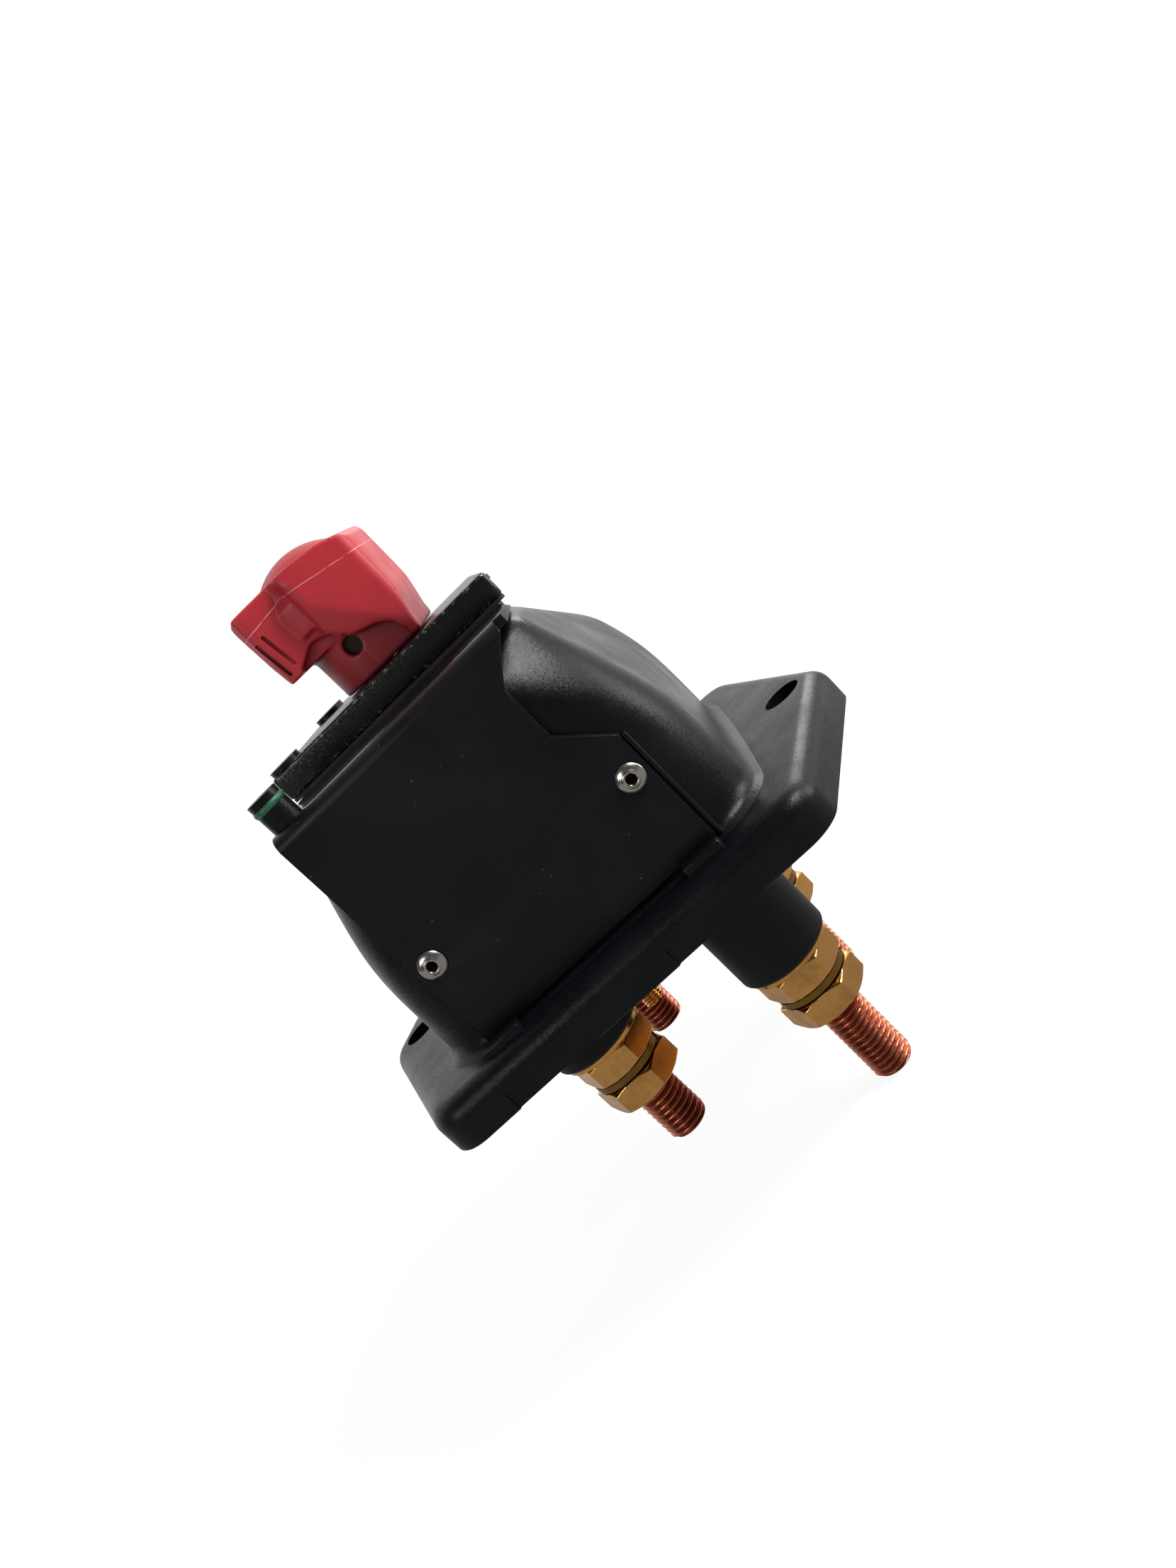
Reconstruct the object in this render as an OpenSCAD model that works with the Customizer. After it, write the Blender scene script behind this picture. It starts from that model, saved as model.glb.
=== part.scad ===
// Two-pole battery disconnect switch with a turning red handle.
// The origin lies midway between the two ear holes, on the underside of the ears.
// +Z runs up to the handle, +X to the ear beside the long terminal studs.

/* [Mounting flange] */
// Distance between the two ear holes
ear_spacing = 113.4; // [108:0.2:118]
// Diameter of each ear hole
ear_hole_d = 9.3; // [6:0.1:10]
// Radius of the rounded ear tip
ear_tip_r = 7; // [5:0.5:9]
// How far the ear tip's centre lies beyond the ear hole
ear_tip_out = 3.1; // [1:0.1:5]
// Radius of the flange's four broad corners
flange_corner_r = 9; // [6:0.5:12]
// Half the distance between the corner centres, left to right
flange_corner_x = 41.5; // [39:0.5:44]
// Half the depth of the flange, front to back
flange_half_depth = 54; // [52:0.5:58]
// Height of the flange, from its underside to its top
flange_h = 10.2; // [9:0.1:14]
// Radius of the flange's rounded upper rim
flange_rim_r = 4.5; // [2:0.5:6]

/* [Housing] */
// Half the width of the housing's upright sides
body_half_w = 41.6; // [40:0.1:44]
// Half the depth of the housing's flat front and back
body_half_d = 44.4; // [43:0.1:46]
// Height of the housing's top above the ears' underside
body_top = 67; // [64:0.5:72]
// Height at which the sides bend inwards
bend_z = 38; // [34:0.5:42]
// Half the width of the housing's top
top_half_w = 30.4; // [29:0.1:33]
// Corner radius of the housing seen from above
body_corner_r = 14; // [10:0.5:17]
// Radius that softens the bend in the sides
bend_r = 9; // [4:1:14]
// Radius of the housing's upper front and back edges
body_edge_r = 3; // [2.2:0.2:5]
// Distance of the sloping corner facets from the origin
facet_dist = 70; // [68:0.2:73]
// Tilt of a corner facet's normal from straight up
facet_tilt = 61.7; // [56:0.1:66]
// Turn of a corner facet's normal from the X axis
facet_turn = 52.4; // [46:0.2:58]
// Distance of the broad rear side slopes from the origin
rear_slope_dist = 62.9; // [62:0.1:66]
// Tilt of a rear slope's normal from straight up
rear_slope_tilt = 50.8; // [48:0.1:54]
// Turn of a rear slope's normal from the X axis, towards the back
rear_slope_turn = 9.7; // [7:0.1:12]
// Thickness of the moulded walls
wall = 3.5; // [2.5:0.1:4]

/* [Terminal base] */
// Thickness of the terminal base plate
base_t = 6; // [5:0.5:7]
// Thickness of the base gasket
base_gasket_t = 1; // [0.8:0.1:1.2]
// Distance between the studs, left to right
stud_pitch_x = 41.2; // [39:0.2:43]
// Distance between the studs, front to back
stud_pitch_y = 51; // [48:0.5:53]
// Diameter of the terminal studs
stud_d = 10; // [8:0.5:10]
// Diameter of the moulded bosses round the studs
boss_d = 22.2; // [20:0.2:23]
// Drop of the long bosses below the ears' underside
boss_drop_long = 23.9; // [20:0.1:28]
// Drop of the short bosses below the ears' underside
boss_drop_short = 10.3; // [8:0.1:14]
// Drop of the long studs' tips below the ears' underside
stud_drop_long = 60.3; // [56:0.1:66]
// Drop of the short studs' tips below the ears' underside
stud_drop_short = 39.4; // [36:0.1:46]

/* [Terminal hardware] */
// Width across the flats of the brass nuts
nut_af = 17; // [16:0.5:19]
// Height of each brass nut
nut_h = 6; // [5:0.5:7]
// Outer diameter of the flat washers
washer_d = 20; // [18:0.5:22]
// Thickness of the flat washers
washer_t = 1.2; // [1:0.1:2]
// Height of the split spring washers
spring_washer_t = 2; // [1.6:0.1:2.4]
// Diameter of the auxiliary brass screw
aux_d = 5; // [4:0.5:6]
// Drop of the auxiliary screw's tip below the ears' underside
aux_drop = 23.2; // [20:0.1:28]
// Place of the auxiliary screw left of the centre
aux_x = 12.8; // [11:0.1:14]

/* [Cover bracket] */
// Half the width of the cover bracket
bracket_half_w = 30.2; // [28:0.1:31]
// Thickness of the bracket's sheet
bracket_t = 2; // [1.5:0.1:2.5]
// Outer bend radius of the bracket
bracket_bend_r = 3.2; // [2.6:0.1:4]
// Height of the bracket's lower edges
bracket_bottom = 11.9; // [11:0.1:14]
// Height of the rivets
rivet_z = 30.9; // [26:0.1:34]
// Distance of the rivets from the middle
rivet_x = 26.3; // [22:0.1:27]
// Diameter of the rivets' rolled flange
rivet_d = 6; // [5:0.1:7]
// Bore through the tubular rivets
rivet_bore_d = 2.2; // [1.8:0.1:2.6]

/* [Face plate] */
// Half the length of the die-cast face plate
plate_half_l = 31; // [29:0.1:33]
// Half the depth of the face plate
plate_half_d = 18.9; // [17:0.1:21]
// Thickness of the face plate
plate_t = 5.9; // [5:0.1:7]
// Thickness of the fibre gasket below the face plate
plate_gasket_t = 0.8; // [0.6:0.1:1]
// Diameter of the pan-head screws in the face plate
pan_head_d = 7.6; // [7:0.1:8]

/* [Seal plug] */
// Diameter of the seal plug at the bracket's corner
plug_d = 7; // [6:0.1:8]
// Height of the seal plug above the bracket
plug_h = 7.1; // [6:0.1:8]
// Distance of the seal plug left of the middle
plug_x = 26.7; // [24:0.1:27]
// Distance of the seal plug in front of the middle
plug_y = 40.5; // [38:0.1:41]

/* [Handle] */
// Height of the handle from its foot to its crown
handle_h = 30.5; // [29:0.5:33]
// Radius of the handle's round foot
handle_foot_r = 13.2; // [12:0.1:14]
// Half the width of the handle's head
handle_half_w = 15.8; // [15:0.1:17]
// Half the depth of the handle's head
handle_half_d = 16; // [15:0.1:17]
// Radius of the domed crown
handle_dome_r = 16; // [15:0.5:18]
// Diameter of the cross pin through handle and shaft
handle_pin_d = 4; // [3:0.1:4.4]
// Diameter of the drive shaft
shaft_d = 9; // [8:0.5:10]

/* [Mechanism] */
// Lift of the contact carrier over the handle's quarter turn
travel = 6; // [5:0.5:7]
// Turn of the handle from off to on
turn = 90; // [90:1:90]
// Thickness of the bridge contacts
bridge_t = 4; // [3:0.5:5]
// Width of the bridge contacts
bridge_w = 12; // [10:0.5:12]
// Wire diameter of the return springs
spring_wire_d = 1.6; // [1.2:0.1:1.8]

/* [Hidden] */

$fn = 48;
// Facets of the pieces that a hull joins
hull_fn = 32;
// Overrun of every cut
over = 1;
// Play between pieces that only lie near each other
gap = 0.3;
// Radial play of running fits and fixed pins
play = 0.05;
// Two sides of the origin
sides = [-1, 1];

// Heights of the terminal base and its gasket
base_rise = 0.5;
base_top = base_rise + base_t;
ledge_z = base_top + base_gasket_t;
// Terminal base outline inside the flange, and the gasket's width along it
skirt_wall = 6.8;
base_half_w = body_half_w + 2.1;
base_half_d = flange_half_depth - skirt_wall;
base_gasket_w = 5.6;
base_corner_r = body_corner_r - 4.2;
base_play = 0.3;
// Housing screws from below, in the corners of the cavity
base_screw_x = body_half_w - 9.1;
base_screw_y = body_half_d - 8.4;
base_screw_d = 4;
base_screw_head_d = 7.5;
base_screw_head_h = 2.6;
pillar_r = 6;
pillar_h = 10.5;
pillar_bite = 9;

// Terminal stud heads and the contact tips on them
stud_head_d = 18;
stud_head_h = 4;
contact_tip_d = 11;
contact_tip_t = 1.5;
tip_seat_z = base_top + stud_head_h;
tip_top_z = tip_seat_z + contact_tip_t;
boss_edge_r = 1.2;

// Heights of the moving contacts at rest, with the switch off
closed_gap = 0.1;
moving_tip_z = tip_top_z + closed_gap + travel;
bridge_z = moving_tip_z + contact_tip_t;
bridge_top = bridge_z + bridge_t;
bridge_half_l = stud_pitch_x / 2 + contact_tip_d / 2 + 0.6;

// Contact carrier: beam, stirrups round the bridges and the cam barrel
stirrup_half_w = 7;
stirrup_wall = 2.6;
stirrup_floor = 2.4;
spring_room = 5;
beam_z = bridge_top + spring_room;
beam_t = 4;
beam_top = beam_z + beam_t;
beam_half_w = stirrup_half_w;
beam_half_l = stud_pitch_y / 2 + bridge_w / 2 + gap + stirrup_wall;
rod_d = 5;
aux_head_r = 4;
aux_head_h = 3;
return_spring_r = rod_d / 2 + spring_wire_d / 2 + 2 * gap;
rod_x = aux_x + aux_head_r + return_spring_r + spring_wire_d / 2 + 2 * gap;
rod_arm_r = 6.5;
barrel_r = 12.5;
barrel_wall = 3;
barrel_h = 20;
barrel_top = beam_top + barrel_h;
cam_pin_d = 4;
cam_pin_play = 0.25;
cam_pin_z = beam_top + 6;
cam_steps = 6;
bridge_spring_r = 3.6;

// Stack above the housing
bracket_top = body_top + bracket_t;
plate_z = bracket_top + plate_gasket_t;
plate_top = plate_z + plate_t;
handle_z = plate_top + gap;
bracket_half_d = body_half_d + bracket_t;

// Shaft, bush and rotor
shaft_r = shaft_d / 2;
bush_wall = 2;
bush_r = shaft_r + play + bush_wall;
bush_flange_r = bush_r + 2.5;
bush_flange_t = 1.5;
ceiling_z = body_top - wall;
washer_gap = gap;
thrust_t = 1.2;
thrust_z = ceiling_z - bush_flange_t - thrust_t;
rotor_flange_t = 4;
rotor_top = thrust_z - washer_gap;
rotor_flange_r = barrel_r + 1;
rotor_hub_r = barrel_r - barrel_wall - gap;
rotor_bottom = cam_pin_z - cam_pin_d;
seal_t = 2.4;
seal_groove_r = bush_r;
shaft_end = handle_z + handle_h * 0.62;
handle_pin_z = handle_z + handle_h * 0.243;
pin_reach_share = 0.55;

// Cover bracket notch in the front's right upper corner, as distances from the edges
notch_low = 25.7;
notch_in = 9.0;
notch_run = 8.3;
notch_step = 12;
notch_exit_in = 4.7;
notch_exit_up = 4.9;
notch_lip_in = 2;
rivet_reach = 9;
rivet_shank_d = 4;
rivet_flange_t = 1.1;
tab_half_l = 4.6;
tab_h = 1.9;
tab_deep = 3.4;
tab_x = [-27, 25.5];
crease_x = [-22.5, 19.4];
crease_half_l = 10;
crease_h = 3;
crease_deep = 0.7;
rib_w = 1;
rib_deep = 1.3;
rib_z0 = flange_h;
rib_z1 = bracket_bottom + 26;

// Face plate details
plate_edge_r = 0.9;
plate_corner_r = 1.6;
pan_head_h = 1.1;
plate_taper = 6.5;
plate_screw_in = 4;
plate_screw_y = plate_half_d - plate_screw_in;
plate_screw_d = 4;
plate_screw_reach = 12;
sink_depth = 2.2;

// Seal plug
plug_ring_d = 1.8;
plug_ring_z = bracket_top + plug_h * 0.68;
plug_neck = 0.7;
plug_shank_d = 4;
plug_shank_l = 4.5;

// Rounded rectangle made of two bars and four corner discs
module rounded_rect(half_w, half_d, r) {
    square([2 * half_w, 2 * (half_d - r)], center = true);
    square([2 * (half_w - r), 2 * half_d], center = true);
    for (x = sides, y = sides)
        translate([x * (half_w - r), y * (half_d - r)])
            circle(r);
}

// Places its children at the four terminals, each with its side's sign in X
module at_terminals(x_sides) {
    for (x = x_sides, y = sides)
        translate([x * stud_pitch_x / 2, y * stud_pitch_y / 2])
            children();
}

// Half the distance between the plate's screws, in the front row and the rear row
function plate_screw_x(row) = plate_half_l - plate_screw_in - (row > 0 ? plate_taper : 0);

function boss_end(side) = side > 0 ? -boss_drop_long : -boss_drop_short;
function stud_end(side) = side > 0 ? -stud_drop_long : -stud_drop_short;

// Disc whose upper rim is rounded, the corner form of the flange
module rimmed_disc(r, h, rim) {
    rotate_extrude($fn = hull_fn)
        union() {
            square([r - rim, h]);
            square([r, h - rim]);
            translate([r - rim, h - rim])
                intersection() {
                    circle(rim, $fn = hull_fn);
                    square(rim);
                }
        }
}

// Elongated six-sided flange that carries the ears
module flange_form() {
    hull() {
        for (x = sides)
            translate([x * (ear_spacing / 2 + ear_tip_out), 0])
                rimmed_disc(ear_tip_r, flange_h, flange_rim_r);
        for (x = sides, y = sides)
            translate([x * flange_corner_x, y * (flange_half_depth - flange_corner_r)])
                rimmed_disc(flange_corner_r, flange_h, flange_rim_r);
    }
}

// Upright then inward-sloping outline of the housing, seen from the front
module body_profile(inset) {
    half = body_half_w - inset;
    top_half = top_half_w - inset;
    polygon([
        [-half, 0], [half, 0], [half, bend_z - bend_r / 2],
        [half - bend_r * 0.1, bend_z + bend_r * 0.18], [half - bend_r * 0.34, bend_z + bend_r * 0.68],
        [top_half, body_top - inset], [-top_half, body_top - inset],
        [-half + bend_r * 0.34, bend_z + bend_r * 0.68], [-half + bend_r * 0.1, bend_z + bend_r * 0.18],
        [-half, bend_z - bend_r / 2]
    ]);
}

// All that lies beyond a sloping plane, given by its distance and its normal's tilt and turn
module beyond_slope(dist, tilt, turned) {
    block = 2 * body_top;
    rotate([0, tilt, turned])
        translate([-block / 2, -block / 2, dist])
            cube([block, block, block / 2]);
}

// Both broad slopes that draw the sides in towards the back
module rear_slopes(inset) {
    for (x = [0, 1])
        mirror([x, 0, 0])
            beyond_slope(rear_slope_dist - inset, rear_slope_tilt, rear_slope_turn);
}

// Solid form of the housing's upper body, drawn in by inset on every side
module body_form(inset) {
    difference() {
        intersection() {
            rotate([90, 0, 0])
                linear_extrude(2 * body_half_d, center = true)
                    body_profile(inset);
            linear_extrude(body_top)
                rounded_rect(body_half_w - inset, body_half_d - inset, body_corner_r - inset);
            rotate([90, 0, 90])
                linear_extrude(2 * body_half_w, center = true)
                    arched_rect(body_half_d - inset, body_top - inset, body_edge_r);
        }
        for (x = [0, 1], y = [0, 1])
            mirror([x, 0, 0])
                mirror([0, y, 0])
                    beyond_slope(facet_dist - inset, facet_tilt, -facet_turn);
        rear_slopes(inset);
    }
}

module housing() {
    color([0.05, 0.05, 0.055])
    difference() {
        union() {
            flange_form();
            body_form(0);
            housing_tabs();
            housing_ribs();
        }
        difference() {
            body_form(wall);
            housing_pillars();
            bush_pad();
        }
        translate([0, 0, -over])
            linear_extrude(ledge_z + over)
                rounded_rect(base_half_w + base_play, base_half_d + base_play, base_corner_r + base_play);
        housing_bores();
        skirt_creases();
    }
}

// Screw pillars that stand in the cavity's corners
module housing_pillars() {
    for (x = sides, y = sides)
        translate([x * base_screw_x, y * base_screw_y, ledge_z])
            cylinder(r = pillar_r, h = pillar_h);
}

// Thickened pad that holds the shaft bush
module bush_pad() {
    translate([0, 0, ceiling_z - bush_flange_t])
        difference() {
            cylinder(r = bush_flange_r + wall, h = wall + bush_flange_t);
            translate([0, 0, -over])
                cylinder(r = bush_flange_r + play, h = bush_flange_t + over);
        }
}

module housing_bores() {
    for (x = sides)
        translate([x * ear_spacing / 2, 0, -over])
            cylinder(d = ear_hole_d, h = flange_h + 2 * over);
    for (x = sides, y = sides)
        translate([x * base_screw_x, y * base_screw_y, ledge_z - over])
            cylinder(r = base_screw_d / 2 + play, h = pillar_bite + over);
    translate([0, 0, ceiling_z - bush_flange_t - over])
        cylinder(r = bush_r + play, h = wall + bush_flange_t + 2 * over);
    for (x = sides, y = sides)
        translate([x * rivet_x, y * body_half_d, rivet_z])
            rotate([90, 0, 0])
                cylinder(r = rivet_shank_d / 2 + play, h = 2 * rivet_reach, center = true);
    for (x = sides, y = sides)
        translate([x * plate_screw_x(y), y * plate_screw_y, body_top - plate_screw_reach])
            cylinder(r = plate_screw_d / 2 + play, h = plate_screw_reach + over);
    translate([-plug_x, -plug_y, body_top - plug_shank_l])
        cylinder(r = plug_shank_d / 2 + play, h = plug_shank_l + over);
}

// Small stop tabs on the flange below the bracket's front and back edges
module housing_tabs() {
    for (turned = [0, 180], x = tab_x)
        rotate([0, 0, turned])
            translate([x - tab_half_l, -bracket_half_d - tab_deep, flange_h - flange_rim_r])
                cube([2 * tab_half_l, tab_deep, flange_rim_r + tab_h]);
}

// Thin upright ribs that locate the bracket's edge
module housing_ribs() {
    for (turned = [0, 180])
        rotate([0, 0, turned])
            translate([bracket_half_w + gap, -body_half_d - rib_deep, rib_z0 - over])
                cube([rib_w, rib_deep + over, rib_z1 - rib_z0 + over]);
}

// Long shallow recesses in the skirt's front and back
module skirt_creases() {
    for (turned = [0, 180], x = crease_x)
        rotate([0, 0, turned])
            translate([x - crease_half_l, -flange_half_depth - over, -over])
                cube([2 * crease_half_l, over + crease_deep, crease_h + over]);
}

module base_gasket() {
    color([0.16, 0.16, 0.17])
    translate([0, 0, base_top])
        linear_extrude(base_gasket_t)
            difference() {
                rounded_rect(base_half_w, base_half_d, base_corner_r);
                rounded_rect(base_half_w - base_gasket_w, base_half_d - base_gasket_w,
                             base_corner_r - base_gasket_w / 2);
            }
}

// Moulded base with one round boss for each terminal stud
module terminal_base() {
    color([0.06, 0.06, 0.065])
    difference() {
        union() {
            translate([0, 0, base_rise])
                linear_extrude(base_t)
                    rounded_rect(base_half_w, base_half_d, base_corner_r);
            for (side = sides)
                at_terminals([side])
                    translate([0, 0, boss_end(side)])
                        terminal_boss(base_rise + over - boss_end(side));
        }
        for (side = sides)
            at_terminals([side])
                translate([0, 0, boss_end(side) - over])
                    cylinder(r = stud_d / 2 + play, h = base_top - boss_end(side) + 2 * over);
        for (x = sides, y = sides)
            translate([x * base_screw_x, y * base_screw_y, base_rise - over]) {
                cylinder(r = base_screw_d / 2 + play, h = base_t + 2 * over);
                cylinder(r = base_screw_head_d / 2 + gap, h = base_screw_head_h + over);
            }
        translate([-aux_x, 0, base_rise - over])
            cylinder(r = aux_d / 2 + play, h = base_t + 2 * over);
        for (x = sides)
            translate([x * rod_x, 0, base_top - base_t / 2])
                cylinder(r = rod_d / 2 + play, h = base_t);
    }
}

// Boss with a rounded lower edge, standing on its end
module terminal_boss(length) {
    rotate_extrude()
        union() {
            translate([0, boss_edge_r])
                square([boss_d / 2, length - boss_edge_r]);
            square([boss_d / 2 - boss_edge_r, boss_edge_r + over]);
            translate([boss_d / 2 - boss_edge_r, boss_edge_r])
                circle(boss_edge_r);
        }
}

module base_screws() {
    color([0.7, 0.7, 0.72])
    for (x = sides, y = sides)
        translate([x * base_screw_x, y * base_screw_y, base_rise]) {
            cylinder(d = base_screw_d, h = base_t + base_gasket_t + pillar_bite - gap);
            cylinder(d = base_screw_head_d, h = base_screw_head_h);
        }
}

// Stud with a round contact head on its inner end and a chamfered tip
module stud(side) {
    tip_chamfer = stud_d / 10;
    translate([0, 0, stud_end(side)]) {
        cylinder(r1 = stud_d / 2 - tip_chamfer, r2 = stud_d / 2, h = tip_chamfer);
        translate([0, 0, tip_chamfer])
            cylinder(d = stud_d, h = base_top - stud_end(side) - tip_chamfer);
    }
    translate([0, 0, base_top])
        cylinder(d = stud_head_d, h = stud_head_h);
}

module long_studs() {
    color([0.72, 0.4, 0.28])
    at_terminals([1])
        stud(1);
}

module short_studs() {
    color([0.72, 0.4, 0.28])
    at_terminals([-1])
        stud(-1);
}

module fixed_contacts() {
    color([0.8, 0.8, 0.8])
    at_terminals(sides)
        translate([0, 0, tip_seat_z])
            cylinder(d = contact_tip_d, h = contact_tip_t);
}

// Places its children below each boss, at a depth down the nut stack
module on_stack(depth) {
    for (side = sides)
        at_terminals([side])
            translate([0, 0, boss_end(side) - depth])
                children();
}

module flat_washers() {
    color([0.8, 0.66, 0.35])
    on_stack(washer_t)
        ring(washer_d / 2, stud_d / 2 + play, washer_t);
}

module inner_nuts() {
    color([0.8, 0.66, 0.35])
    on_stack(washer_t + nut_h)
        hex_nut();
}

module spring_washers() {
    color([0.75, 0.6, 0.3])
    on_stack(washer_t + nut_h + spring_washer_t)
        split_ring();
}

module outer_nuts() {
    color([0.8, 0.66, 0.35])
    on_stack(washer_t + 2 * nut_h + spring_washer_t)
        hex_nut();
}

module ring(outer_r, inner_r, h) {
    difference() {
        cylinder(r = outer_r, h = h);
        translate([0, 0, -over])
            cylinder(r = inner_r, h = h + 2 * over);
    }
}

// Spring washer ring with its narrow split
module split_ring() {
    split_w = spring_washer_t;
    difference() {
        ring(stud_d / 2 + 3.6, stud_d / 2 + play, spring_washer_t);
        translate([0, -split_w / 2, -over])
            cube([stud_d, split_w, spring_washer_t + 2 * over]);
    }
}

// Hexagon nut with both faces chamfered to a circle
module hex_nut() {
    corner_r = nut_af / 2 / cos(30);
    rise = over * tan(30);
    difference() {
        intersection() {
            cylinder(r = corner_r, h = nut_h, $fn = 6);
            rotate_extrude()
                polygon([
                    [0, 0], [nut_af / 2, 0], [nut_af / 2 + 2 * over, 2 * rise],
                    [nut_af / 2 + 2 * over, nut_h - 2 * rise], [nut_af / 2, nut_h], [0, nut_h]
                ]);
        }
        translate([0, 0, -over])
            cylinder(r = stud_d / 2 + play, h = nut_h + 2 * over);
    }
}

module aux_screw() {
    color([0.8, 0.66, 0.35])
    translate([-aux_x, 0, -aux_drop]) {
        cylinder(d = aux_d, h = aux_drop + base_top);
        translate([0, 0, aux_drop + base_top])
            cylinder(r = aux_head_r, h = aux_head_h);
    }
}

module aux_washer() {
    aux_ring_t = 1.5;
    color([0.72, 0.4, 0.28])
    translate([-aux_x, 0, base_rise - aux_ring_t])
        ring(aux_d, aux_d / 2 + play, aux_ring_t);
}

// Rods that keep the contact carrier from turning
module guide_rods() {
    color([0.7, 0.7, 0.72])
    for (x = sides)
        translate([x * rod_x, 0, base_top - base_t / 2])
            cylinder(d = rod_d, h = beam_top + gap - base_top + base_t / 2);
}

// Sheet bent over the housing's front, top and back, seen from the side
module bracket_section() {
    bend_in = bracket_bend_r - bracket_t;
    difference() {
        arched_rect(bracket_half_d, bracket_top, bracket_bend_r);
        arched_rect(body_half_d, body_top, bend_in);
    }
}

// Upright rectangle whose two upper corners are round
module arched_rect(half_d, top, r) {
    translate([-half_d, 0])
        square([2 * half_d, top - r]);
    translate([-half_d + r, 0])
        square([2 * (half_d - r), top]);
    for (y = sides)
        translate([y * (half_d - r), top - r])
            circle(r);
}

// Cut-out that bares the housing's corner facet
module bracket_notch() {
    right = bracket_half_w;
    low = bracket_top - notch_low - notch_exit_up;
    polygon([
        [right + over, low], [right, low], [right - notch_in, low + notch_run],
        [right - notch_in, low + notch_run + notch_step],
        [right - notch_exit_in, bracket_top - notch_exit_up],
        [right - notch_lip_in, bracket_top - bracket_t], [right - notch_lip_in, bracket_top + over],
        [right + over, bracket_top + over]
    ]);
}

module cover_bracket() {
    color([0.09, 0.09, 0.1])
    difference() {
        rotate([90, 0, 90])
            linear_extrude(2 * bracket_half_w, center = true)
                bracket_section();
        translate([0, 0, -over])
            linear_extrude(bracket_bottom + over)
                square(3 * bracket_half_d, center = true);
        for (y = [0, 1])
            mirror([0, y, 0])
                translate([0, -body_half_d + bracket_bend_r - bracket_t, 0])
                    rotate([90, 0, 0])
                        linear_extrude(bracket_bend_r + over)
                            bracket_notch();
        rear_slopes(0);
        for (x = sides, y = sides)
            translate([x * rivet_x, y * body_half_d, rivet_z])
                rotate([90, 0, 0])
                    cylinder(r = rivet_shank_d / 2 + play, h = 2 * rivet_reach, center = true);
        for (x = sides, y = sides)
            translate([x * plate_screw_x(y), y * plate_screw_y, body_top - over])
                cylinder(r = plate_screw_d / 2 + play, h = bracket_t + 2 * over);
        translate([-plug_x, -plug_y, body_top - over])
            cylinder(r = plug_shank_d / 2 + play, h = bracket_t + 2 * over);
        translate([0, 0, body_top - over])
            cylinder(r = shaft_r + gap, h = bracket_t + 2 * over);
    }
}

// Tubular rivets whose rolled flange lies on the bracket
module bracket_rivets() {
    color([0.78, 0.76, 0.72])
    for (x = sides, turned = [0, 180])
        rotate([0, 0, turned])
            translate([x * rivet_x, -bracket_half_d, rivet_z])
                rotate([-90, 0, 0])
                    rivet();
}

module rivet() {
    difference() {
        union() {
            cylinder(d = rivet_shank_d, h = rivet_reach);
            rivet_flange();
        }
        translate([0, 0, -rivet_flange_t - over])
            cylinder(d = rivet_bore_d, h = rivet_reach + rivet_flange_t + 2 * over);
    }
}

// Flange that slopes from its rim up to the rolled lip
module rivet_flange() {
    rim_t = rivet_flange_t / 3;
    lip_r = rivet_bore_d / 2 + 0.6;
    translate([0, 0, -rim_t])
        cylinder(d = rivet_d, h = rim_t);
    translate([0, 0, -rivet_flange_t])
        cylinder(r1 = lip_r, r2 = rivet_d / 2, h = rivet_flange_t - rim_t);
}

module plate_gasket() {
    color([0.75, 0.68, 0.55])
    translate([0, 0, bracket_top])
        difference() {
            linear_extrude(plate_gasket_t)
                plate_outline(gap);
            translate([0, 0, -over])
                cylinder(r = shaft_r + gap, h = plate_gasket_t + 2 * over);
            for (x = sides, y = sides)
                translate([x * plate_screw_x(y), y * plate_screw_y, -over])
                    cylinder(r = plate_screw_d / 2 + play, h = plate_gasket_t + 2 * over);
        }
}

// Outline of the face plate, whose ends slant in towards the back
module plate_outline(inset) {
    half_l = plate_half_l - inset;
    half_d = plate_half_d - inset;
    rear_l = half_l - plate_taper;
    intersection() {
        rounded_rect(half_l, half_d, plate_corner_r);
        polygon([
            [half_l, -half_d], [rear_l, half_d - plate_corner_r], [rear_l - plate_corner_r, half_d],
            [plate_corner_r - rear_l, half_d], [-rear_l, half_d - plate_corner_r], [-half_l, -half_d]
        ]);
    }
}

// Die-cast plate with softened upper and lower edges
module face_plate() {
    color([0.1, 0.1, 0.1])
    difference() {
        union() {
            translate([0, 0, plate_z + plate_edge_r])
                linear_extrude(plate_t - 2 * plate_edge_r)
                    plate_outline(0);
            translate([0, 0, plate_z])
                linear_extrude(plate_t)
                    plate_outline(plate_edge_r);
        }
        translate([0, 0, plate_z - over])
            cylinder(r = shaft_r + play, h = plate_t + 2 * over);
        for (x = sides, y = sides)
            translate([x * plate_screw_x(y), y * plate_screw_y, plate_z - over])
                cylinder(r = plate_screw_d / 2 + play, h = plate_t + 2 * over);
        for (y = sides)
            translate([plate_screw_x(y), y * plate_screw_y, plate_top - sink_depth])
                cylinder(d = pan_head_d + 2 * gap, h = sink_depth + over);
    }
}

// Pan heads on the left, sunk heads on the right
module plate_screws() {
    color([0.35, 0.3, 0.27])
    for (x = sides, y = sides) {
        head_z = x < 0 ? plate_top : plate_top - sink_depth;
        translate([x * plate_screw_x(y), y * plate_screw_y, 0]) {
            translate([0, 0, body_top - plate_screw_reach + over])
                cylinder(d = plate_screw_d, h = head_z - body_top + plate_screw_reach - over);
            translate([0, 0, head_z])
                cylinder(d = pan_head_d, h = pan_head_h);
        }
    }
}

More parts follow.
